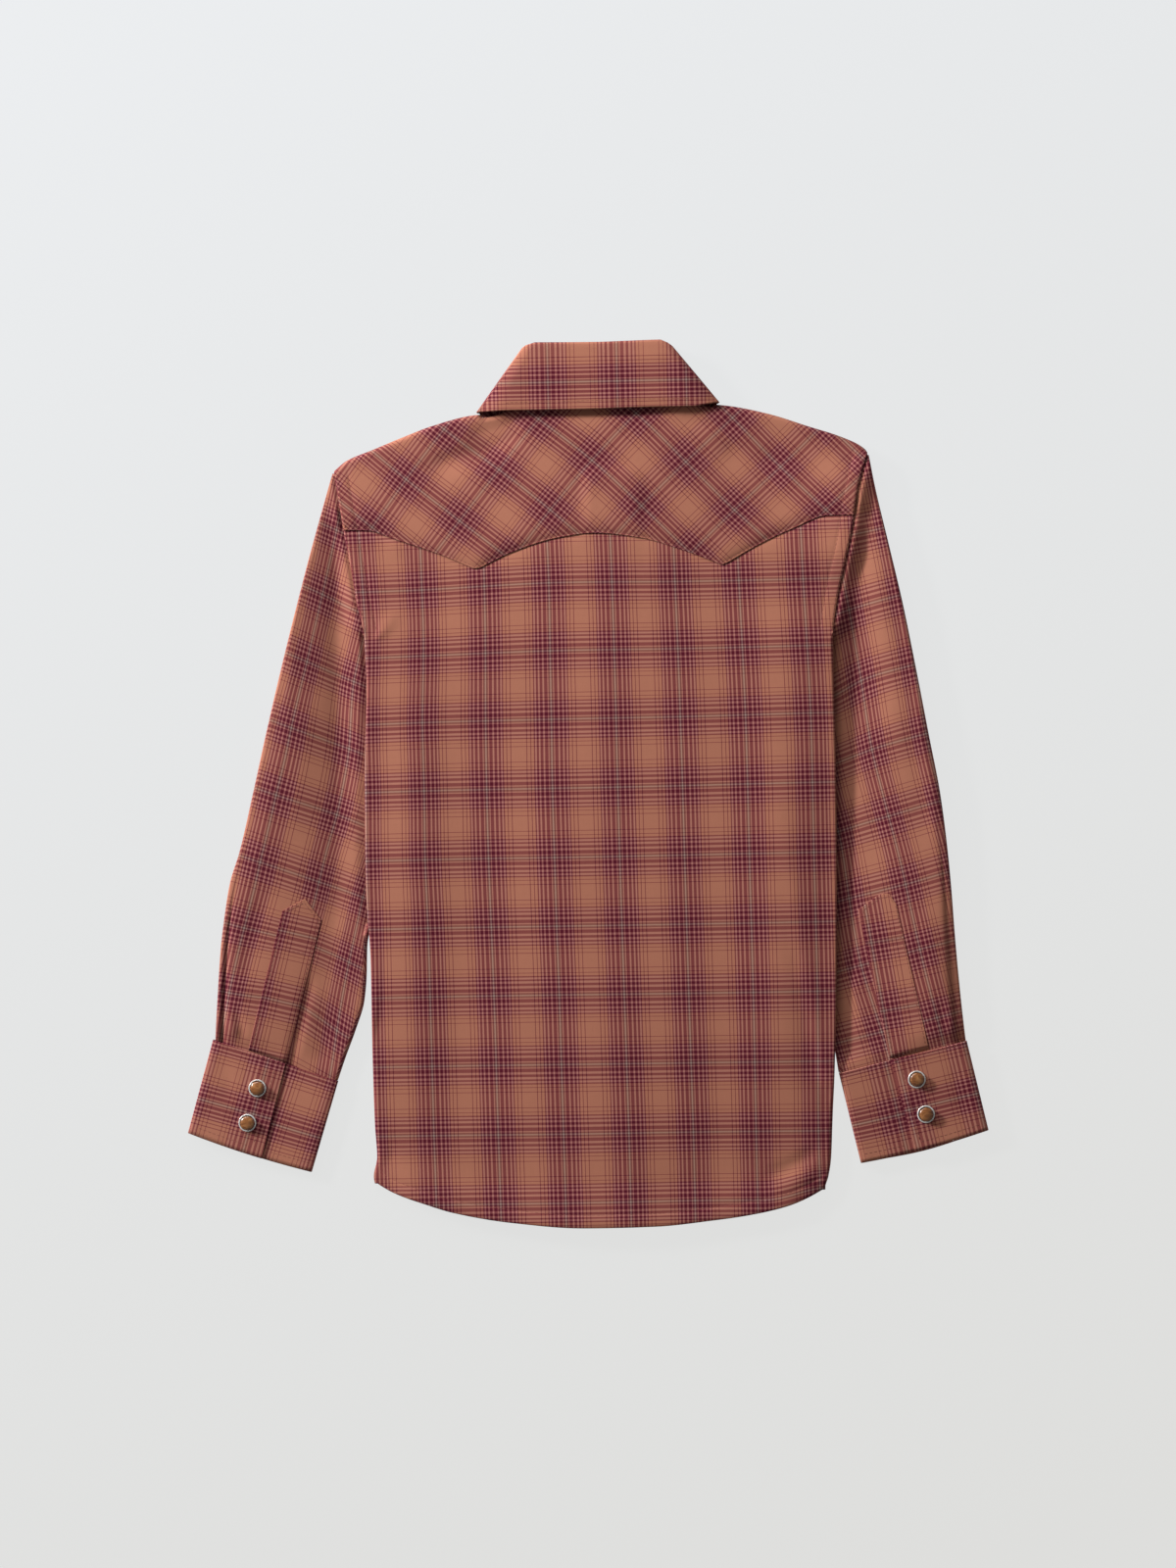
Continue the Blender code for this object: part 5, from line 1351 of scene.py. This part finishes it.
class Shop:
    """A material's nodes."""

    def __init__(self, name):
        self.material = bpy.data.materials.new(name)
        self.material.use_nodes = True
        self.tree = self.material.node_tree
        self.shader = self.tree.nodes["Principled BSDF"]

    def node(self, kind, settings=None, inputs=(), output=0):
        made = self.tree.nodes.new(kind)
        for name, value in (settings or {}).items():
            if name == "stops":
                self.fill_ramp(made.color_ramp, value)
            else:
                setattr(made, name, value)
        pairs = inputs.items() if isinstance(inputs, dict) else enumerate(inputs)
        for name, value in pairs:
            self.feed(made.inputs[name], value)
        return Wire(self, made.outputs[output])

    def feed(self, socket, value):
        if isinstance(value, Wire):
            self.tree.links.new(value.socket, socket)
        else:
            socket.default_value = value

    def set(self, **values):
        for name, value in values.items():
            self.feed(self.shader.inputs[name.replace("_", " ")], value)
        return self.material

    def ramp(self, stops, value):
        return self.node("ShaderNodeValToRGB", {"stops": stops}, [value])

    def place(self):
        """Where a point lies on the finished object."""
        return self.node("ShaderNodeTexCoord", {}, output=3)

    def part(self, vector, axis):
        return self.node("ShaderNodeSeparateXYZ", {}, [vector], output=axis)

    def noise(self, place, scale, detail, **more):
        inputs = {"Vector": place, "Scale": scale, "Detail": detail, **more}
        return self.node("ShaderNodeTexNoise", {}, inputs)

    def stretched(self, place, scale):
        return self.node("ShaderNodeMapping", {}, {"Vector": place, "Scale": scale})

    def bump(self, height, strength, distance):
        return self.node("ShaderNodeBump", {}, {"Strength": strength, "Distance": distance, "Height": height})

    @staticmethod
    def fill_ramp(ramp, stops):
        ramp.interpolation = "LINEAR"
        while len(ramp.elements) > 1:
            ramp.elements.remove(ramp.elements[-1])
        ramp.elements[0].position, ramp.elements[0].color = stops[0][0], (*stops[0][1], 1)
        for place, colour in stops[1:]:
            ramp.elements.new(place).color = (*colour, 1)


def linear(*colour):
    """A colour as seen on a screen, made into the numbers that light adds up in."""
    shares = [level / 255 for level in colour]
    return tuple(c / 12.92 if c < 0.0404 else ((c + 0.055) / 1.055) ** 2.4 for c in shares)


def encoded(red, green, blue):
    """A thread's colour as seen. Two threads that cross are mixed in these numbers, as the eye does."""
    return red / 255, green / 255, blue / 255


RUST, PEACH, WINE = encoded(154, 100, 81), encoded(155, 104, 95), encoded(75, 20, 34)
ASH, BARK = encoded(142, 124, 114), encoded(82, 42, 46)
THREAD_STEP = 0.6  # the threads' ends below are in steps of so many mm
# Threads from the middle of a repeat outwards, each with where it ends. The rest of the repeat mirrors it.
WARP_THREADS = [
    (0.7, ASH), (2.4, BARK), (3.4, PEACH), (6.75, WINE), (8.5, PEACH), (11.3, WINE), (13.0, PEACH),
    (15.1, WINE), (16.8, PEACH), (17.95, WINE), (20.75, RUST), (21.45, WINE), (24.85, RUST), (25.55, WINE),
    (WARP_REPEAT / 2 / THREAD_STEP, RUST),
]
WEFT_THREADS = [
    (0.7, ASH), (2.5, BARK), (3.7, PEACH), (7.25, WINE), (9.55, PEACH), (12.15, WINE), (14.5, PEACH),
    (16.25, WINE), (18.35, PEACH), (19.7, WINE), (22.5, RUST), (23.1, WINE), (27.0, RUST), (27.6, WINE),
    (WEFT_REPEAT / 2 / THREAD_STEP, RUST),
]
WEFT_SHARE = 0.46  # how much of the crossing threads' colour the weft gives
WEAVE_STEP = 0.55  # mm between the ridges of the weave


def thread_stops(threads):
    """Ramp stops with a narrow soft change from one thread to the next."""
    reach = threads[-1][0]
    stops, start = [], 0.0
    for end, colour in threads:
        soft = min(0.18, (end - start) / 3)
        stops.append(((start + soft) / reach, colour))
        stops.append(((end - soft) / reach, colour))
        start = end
    return stops


def make_plaid():
    shop = Shop("plaid_cotton")
    place = shop.node("ShaderNodeUVMap", {"uv_map": "cloth"})
    across, along = shop.part(place, 0), shop.part(place, 1)

    def from_pale_line(repeats):
        """0 on the pale line and 1 half a repeat away."""
        return ((repeats + 0.5).own("FRACT") - 0.5).own("ABSOLUTE") * 2.0

    def ridges(repeats, repeat):
        return (repeats * (repeat / WEAVE_STEP * 2 * math.pi)).own("SINE")

    def slubs(scale_across, scale_along):
        return shop.noise(shop.stretched(place, (scale_across, scale_along, 1.0)), 1.0, 2.0)

    warp = shop.ramp(thread_stops(WARP_THREADS), from_pale_line(across))
    weft = shop.ramp(thread_stops(WEFT_THREADS), from_pale_line(along))
    woven = shop.node("ShaderNodeMix", {"data_type": "RGBA"}, {0: WEFT_SHARE, 6: warp, 7: weft}, output=2)
    uneven = (slubs(70.0, 5.0) + slubs(5.0, 70.0)) * 0.5
    tone = uneven * 0.1 + 0.95
    shade = shop.node("ShaderNodeCombineXYZ", {}, [tone, tone, tone])
    seen = shop.node("ShaderNodeMix", {"data_type": "RGBA", "blend_type": "MULTIPLY"},
                     {0: 1.0, 6: woven, 7: shade}, output=2)
    weave = ridges(across, WARP_REPEAT) * ridges(along, WEFT_REPEAT)
    return shop.set(Base_Color=shop.node("ShaderNodeGamma", {}, [seen, 2.2]), Roughness=0.86,
                    Normal=shop.bump(weave * 0.2 + uneven, 0.05, 0.0003), Specular_IOR_Level=0.12,
                    Sheen_Weight=0.03, Sheen_Roughness=0.5)


def make_metal(name, dark, bright, metallic, roughness):
    shop = Shop(name)
    worn = shop.noise(shop.place(), 1400.0, 3.0)
    return shop.set(Base_Color=shop.ramp([(0.3, linear(*dark)), (0.7, linear(*bright))], worn),
                    Metallic=metallic, Roughness=worn * 0.2 + roughness)


def make_pearl():
    """Brown marbled pearl: darker veins that run mostly one way, over a tan ground."""
    shop = Shop("marbled_pearl")
    moved = shop.stretched(shop.place(), (170.0, 330.0, 120.0))
    swirl = shop.noise(moved, 1.0, 3.0, Distortion=1.4)
    stops = [(0.3, linear(82, 44, 20)), (0.44, linear(112, 66, 30)), (0.56, linear(130, 82, 42)),
             (0.7, linear(152, 104, 62))]
    return shop.set(Base_Color=shop.ramp(stops, swirl), Roughness=0.3, Coat_Weight=0.35,
                    Coat_Roughness=0.12)


def make_thread():
    shop = Shop("sewing_thread")
    ply = shop.noise(shop.place(), 3000.0, 2.0)
    return shop.set(Base_Color=shop.ramp([(0.3, linear(104, 56, 52)), (0.7, linear(146, 88, 74))], ply),
                    Roughness=0.7, Normal=shop.bump(ply, 0.2, 0.0001), Specular_IOR_Level=0.25)


plaid, pearl, thread = make_plaid(), make_pearl(), make_thread()
silver = make_metal("rolled_silver", (196, 192, 186), (236, 234, 230), 0.45, 0.18)
# Dark metal for the ring's groove: painted shade between the lip and the cap.
groove_shade = make_metal("painted_groove_shade", (38, 32, 30), (84, 74, 68), 0.7, 0.35)


# ---- dressing the shirt ----------------------------------------------------------------------


def enter(piece, node=None):
    """Make a piece part of the shirt. It stands for a node where one is named, and that node is hidden."""
    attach(piece, "root")
    if node:
        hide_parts(node)


def lay(piece, node, flat):
    """Finish a piece of cloth with the plaid and make it part of the shirt. flat is the size it is cut to."""
    piece.data.materials.append(plaid)
    enter(piece, node)
    area = min(sum(face.area for face in piece.data.polygons), flat[0] * flat[1])


# ---- snaps and stitches ----------------------------------------------------------------------


def begin(add, **settings):
    """A primitive at its size and place, opened for shaping with nothing selected."""
    bpy.ops.object.select_all(action="DESELECT")
    add(**settings)
    bpy.ops.object.mode_set(mode="EDIT")
    bpy.ops.mesh.select_mode(type="FACE")
    bpy.ops.mesh.select_all(action="DESELECT")
    return bpy.context.object


def pick_faces(piece, wanted):
    bpy.ops.mesh.select_all(action="DESELECT")
    shape = bmesh.from_edit_mesh(piece.data)
    for face in shape.faces:
        face.select_set(bool(wanted(face)))
    bmesh.update_edit_mesh(piece.data)


def finish_shape(piece, smooth=math.radians(40)):
    bpy.ops.object.mode_set(mode="OBJECT")
    bpy.ops.object.transform_apply(location=True, rotation=True, scale=True)
    bpy.ops.object.shade_smooth_by_angle(angle=smooth)
    return piece


def model_ring():
    """A snap's prong ring: a rolled bright lip, and inside it a groove that drops to the cap's seat."""
    ring = begin(bpy.ops.mesh.primitive_cylinder_add, vertices=48, radius=RING_RADIUS * MM,
                 depth=RING_HEIGHT * MM, location=(0, 0, RING_HEIGHT / 2 * MM))
    pick_faces(ring, lambda face: face.normal.z > 0.9)
    bpy.ops.mesh.inset(thickness=RING_LIP * MM)
    bpy.ops.mesh.extrude_region_move(TRANSFORM_OT_translate={"value": (0, 0, -RING_GROOVE * MM)})
    bpy.ops.mesh.inset(thickness=0.3 * MM)
    bpy.ops.object.mode_set(mode="OBJECT")
    roll = ring.modifiers.new("roll", "BEVEL")
    roll.width = 0.42 * MM
    roll.segments = 4
    roll.limit_method = "ANGLE"
    roll.angle_limit = math.radians(50)
    bpy.ops.object.modifier_apply(modifier="roll")
    ring.data.materials.append(silver)
    ring.data.materials.append(groove_shade)
    # The faces inside the lip and below its top take the dark metal, as painted shade in the groove.
    for face in ring.data.polygons:
        inside = math.hypot(face.center.x, face.center.y) < (RING_RADIUS - 0.9) * MM
        face.material_index = int(inside and face.center.z < (RING_HEIGHT - 0.1) * MM)
    bpy.ops.object.shade_smooth_by_angle(angle=math.radians(40))
    return ring


def model_cap():
    """A snap's pearl cap: a flattened dome with a straight foot."""
    cap = begin(bpy.ops.mesh.primitive_uv_sphere_add, segments=40, ring_count=24, radius=CAP_RADIUS * MM)
    bpy.ops.mesh.select_all(action="SELECT")
    bpy.ops.mesh.bisect(plane_co=(0, 0, 0), plane_no=(0, 0, 1), clear_inner=True, use_fill=True)
    bpy.ops.mesh.select_all(action="SELECT")
    bpy.ops.transform.resize(value=(1, 1, (CAP_HEIGHT - CAP_FOOT) / CAP_RADIUS))
    pick_faces(cap, lambda face: face.normal.z < -0.9)
    bpy.ops.mesh.extrude_region_move(TRANSFORM_OT_translate={"value": (0, 0, -CAP_FOOT * MM)})
    bpy.ops.mesh.select_all(action="SELECT")
    bpy.ops.transform.translate(value=(0, 0, CAP_FOOT * MM))
    cap.data.materials.append(pearl)
    return finish_shape(cap)


def model_stitch():
    """One stitch of thread along X: a round middle whose ends turn down into the cloth."""
    stitch = begin(bpy.ops.mesh.primitive_cylinder_add, vertices=6, radius=STITCH_RADIUS * MM,
                   depth=STITCH_LENGTH * 0.6 * MM, rotation=(0, math.radians(90), 0))
    for side in (-1, 1):
        pick_faces(stitch, lambda face: face.normal.z * side > 0.9)
        bpy.ops.mesh.extrude_region_move(
            TRANSFORM_OT_translate={"value": (side * STITCH_LENGTH * 0.2 * MM, 0, -STITCH_RADIUS * 0.9 * MM)})
        bpy.ops.transform.resize(value=(0.6, 0.6, 0.6))
    return finish_shape(stitch, math.radians(70))


def put_copies(name, model, places, turns=None):
    """One piece made of copies of a model, each at its place and turned in plan."""
    base = np.array([tuple(v.co) for v in model.data.vertices])
    faces = [list(f.vertices) for f in model.data.polygons]
    verts, all_faces, finishes = [], [], []
    for k, place in enumerate(places):
        along, side, up = np.eye(3) if turns is None else turns[k]
        verts.append(base @ np.array((along, side, up)) + np.array(place) * MM)
        all_faces += [[v + k * len(base) for v in face] for face in faces]
        finishes += [f.material_index for f in model.data.polygons]
    mesh = bpy.data.meshes.new(name)
    mesh.from_pydata([tuple(v) for v in np.concatenate(verts)], [], all_faces)
    for material in model.data.materials:
        mesh.materials.append(material)
    for face, finish in zip(mesh.polygons, finishes):
        face.material_index = finish
    made = bpy.data.objects.new(name, mesh)
    bpy.context.scene.collection.objects.link(made)
    bpy.ops.object.select_all(action="DESELECT")
    made.select_set(True)
    bpy.context.view_layer.objects.active = made
    bpy.ops.object.shade_smooth_by_angle(angle=math.radians(40))
    return made


def fit_snap(name, model, place, node, down=False):
    turns = [np.diag((1.0, -1.0, -1.0))] if down else None
    enter(put_copies(name, model, [place], turns), node)


def fit_snaps():
    ring, cap = model_ring(), model_cap()
    for side in SIDES:
        for k, (x, y) in enumerate(CUFF_SNAPS[side]):
            name = f"{side}_{k + 1}"
            fit_snap("ring_" + name, ring, (x, y, CUFF_HEIGHT + 0.1), "cuff_snap_ring_" + name)
            fit_snap("cap_" + name, cap, (x, y, CUFF_HEIGHT + 0.2), "cuff_snap_cap_" + name)
    bpy.ops.object.select_all(action="DESELECT")
    ring.select_set(True)
    cap.select_set(True)
    bpy.context.view_layer.objects.active = ring
    bpy.ops.object.join()
    for k, y in enumerate(FRONT_SNAP_Y):
        fit_snap(f"front_fastener_{k + 1}", ring, (CENTRE_X, y, FRONT_SNAP_Z), f"front_snap_{k + 1}",
                 down=True)
    bpy.data.objects.remove(ring)


def sew(line):
    """Places and turns of the stitches along a line of places on the cloth's face."""
    line = np.array(line, float)
    run = run_along(line)
    pitch = STITCH_LENGTH + STITCH_GAP
    middles = np.arange(pitch / 2, run[-1] - pitch / 2, pitch)

    def at(distance):
        return np.stack([np.interp(distance, run, line[:, k]) for k in range(3)], -1)

    places = at(middles)
    places[:, 2] += STITCH_RADIUS * 0.3
    turns = []
    for way in at(middles + 0.8) - at(middles - 0.8):
        along = way / np.linalg.norm(way)
        side = np.cross((0, 0, 1), along)
        side /= np.linalg.norm(side)
        turns.append(np.array((along, side, np.cross(along, side))))
    return places, turns


def stitch_rows(name, lines):
    places, turns = [], []
    for line in lines:
        some_places, some_turns = sew(line)
        places += list(some_places)
        turns += some_turns
    enter(put_copies("stitches_" + name, STITCH, places, turns))


def on_body(x, y):
    """A line of places on the back's face, or on the yoke's where the yoke covers it."""
    x, y = as_places(x, y)
    return on_grid(x, y, np.where(y > yoke_edge_y(x), yoke_top(x, y), back_top(x, y)))


def stitch_body():
    x = np.linspace(body_left(155.0) + 1.0, body_right(164.0) - 1.0, 200)
    stitch_rows("yoke", [on_body(x, yoke_edge_y(x) + YOKE_STITCH_IN)])
    armholes = []
    for side, top in (("left", 190.0), ("right", 200.0)):
        y = np.linspace(UNDERARM_Y + 6.0, top, 120)
        for inset in (ARMHOLE_SEAM, 1.3):
            armholes.append(on_body(BODY_EDGE[side](y) + INWARD[side] * inset, y))
    stitch_rows("armholes", armholes)
    x = np.linspace(body_left(-238.0) + 6.0, body_right(-240.0) - 14.0, 200)
    stitch_rows("hem", [on_body(x, hem_y(x) + HEM_FOLD)])


def stitch_collar():
    back = [col for col in COLLAR if col.kind == "back"]
    stitch_rows("collar", [[leaf_face(col, 1 - COLLAR_STITCH_IN / far_apart(col.roll, col.edge))
                            for col in back]])


def stitch_cuff(side):
    cuff = CUFF[side]
    length = far_apart(cuff.low_inner, cuff.top_inner)

    def line(shares, downs, height):
        return [(*cuff_place(side, share, down), height) for share, down in zip(*as_places(shares, downs))]

    seam, inner_row = 1.2 / length, 5.2 / length
    under = np.linspace(0.035, cuff.overlap_top - 0.03, 20)
    stitch_rows("cuff_" + side, [
        line(np.linspace(cuff.overlap_top + 0.02, 0.965, 30), seam, CUFF_HEIGHT),
        line(np.linspace(cuff.overlap_top + 0.075, 0.965, 30), 1 - inner_row, CUFF_HEIGHT),
        line(cuff.overlap_top + 0.07, np.linspace(inner_row, 1 - inner_row, 20), CUFF_HEIGHT),
        line(under, seam, CUFF_INNER_HEIGHT),
        line(under, 1 - inner_row, CUFF_INNER_HEIGHT),
    ])


def stitch_placket(side):
    def line(across, down):
        return [placket_place(side, a, d) for a, d in zip(*as_places(across, down))]

    down = np.linspace(0.02, 0.97, 40)
    box_start, box_end = np.array(PLACKET_BOX[side])
    rows = [line(0.07, down), line(0.93, down), line(np.linspace(0.07, 0.93, 21), 0.025),
            [mix(box_start, box_end, share) for share in np.linspace(0, 1, 8)]]
    stitch_rows("placket_" + side, [on_placket(side, np.array(row)) for row in rows])


STITCH = model_stitch()
STITCH.data.materials.append(thread)
lay(build_back(), "back", (0.333, 0.434))
lay(build_yoke(), "yoke_back", (0.336, 0.146))
for side in SIDES:
    lay(build_front(side), "front_" + side, (0.156, 0.468))
    lay(build_sleeve(side), "sleeve_" + side, (0.2, 0.38))
    lay(build_placket(side), "sleeve_placket_" + side, (0.026, 0.1))
    lay(build_cuff(side), "cuff_" + side, (0.06, 0.2))
lay(build_band(), "front_band", (0.026, 0.45))
lay(build_leaf(), "collar_leaf", (0.33, 0.056))
lay(build_stand(), "collar_stand", (0.36, 0.034))
fit_snaps()
stitch_body()
stitch_collar()
for side in SIDES:
    stitch_cuff(side)
    stitch_placket(side)
bpy.data.objects.remove(STITCH)


# ---- the studio ------------------------------------------------------------------------------

# Lamps in metres and watts: place, size, power.
WINDOW = (-2.5, 1.25, 0.88), (0.7, 0.25), 160.0
SOFTBOX = (-0.6, 1.15, 0.62), (1.0, 0.6), 17.4
WORLD_LIGHT = 0.235
LENS, SENSOR = 90, 36
# The view's middle, its long side, and how high above the floor it is that long.
VIEW_X, VIEW_LENGTH, VIEW_LEVEL = -0.00015, 0.960, 0.005


def make_floor():
    bpy.ops.object.select_all(action="DESELECT")
    bpy.ops.mesh.primitive_plane_add(size=6.0, location=(0, 0, -0.0005))
    floor = bpy.context.object
    floor.name = "floor"
    shop = Shop("pale_floor")
    place = shop.place()
    # The floor glows instead of taking light, so no shadow falls on it: painted floor light, brighter towards
    # the top left as if lit from there.
    level = shop.part(place, 1) * 0.9 + shop.part(place, 0) * -0.3 + 0.5
    glow = shop.ramp([(0.0, linear(222, 222, 220)), (1.0, linear(231, 233, 235))], level)
    shop.set(Base_Color=(0.03, 0.03, 0.03, 1), Roughness=1.0, Specular_IOR_Level=0.0, Emission_Color=glow,
             Emission_Strength=0.97)
    floor.data.materials.append(shop.material)


def make_lamp(name, place, size, power):
    light = bpy.data.lights.new(name, "AREA")
    light.shape = "RECTANGLE"
    light.size, light.size_y = size
    light.energy = power
    lamp = bpy.data.objects.new(name, light)
    lamp.location = place
    lamp.rotation_euler = (-mathutils.Vector(place)).to_track_quat("-Z", "Y").to_euler()
    bpy.context.scene.collection.objects.link(lamp)


def make_light():
    world = bpy.data.worlds.new("studio")
    bpy.context.scene.world = world
    world.use_nodes = True
    sky = world.node_tree.nodes["Background"]
    sky.inputs["Color"].default_value = (1.0, 1.0, 1.0, 1)
    sky.inputs["Strength"].default_value = WORLD_LIGHT
    make_lamp("window", *WINDOW)
    make_lamp("softbox", *SOFTBOX)


def make_camera():
    lens = bpy.data.cameras.new("above")
    lens.lens, lens.sensor_width = LENS, SENSOR
    lens.clip_end = 20
    camera = bpy.data.objects.new("above", lens)
    camera.location = (VIEW_X, 0.0, VIEW_LENGTH * LENS / SENSOR + VIEW_LEVEL)
    bpy.context.scene.collection.objects.link(camera)
    bpy.context.scene.camera = camera
    bpy.context.scene.view_settings.view_transform = "Standard"
    bpy.context.scene.view_settings.look = "None"


make_camera()
make_floor()
make_light()

bpy.context.view_layer.update()
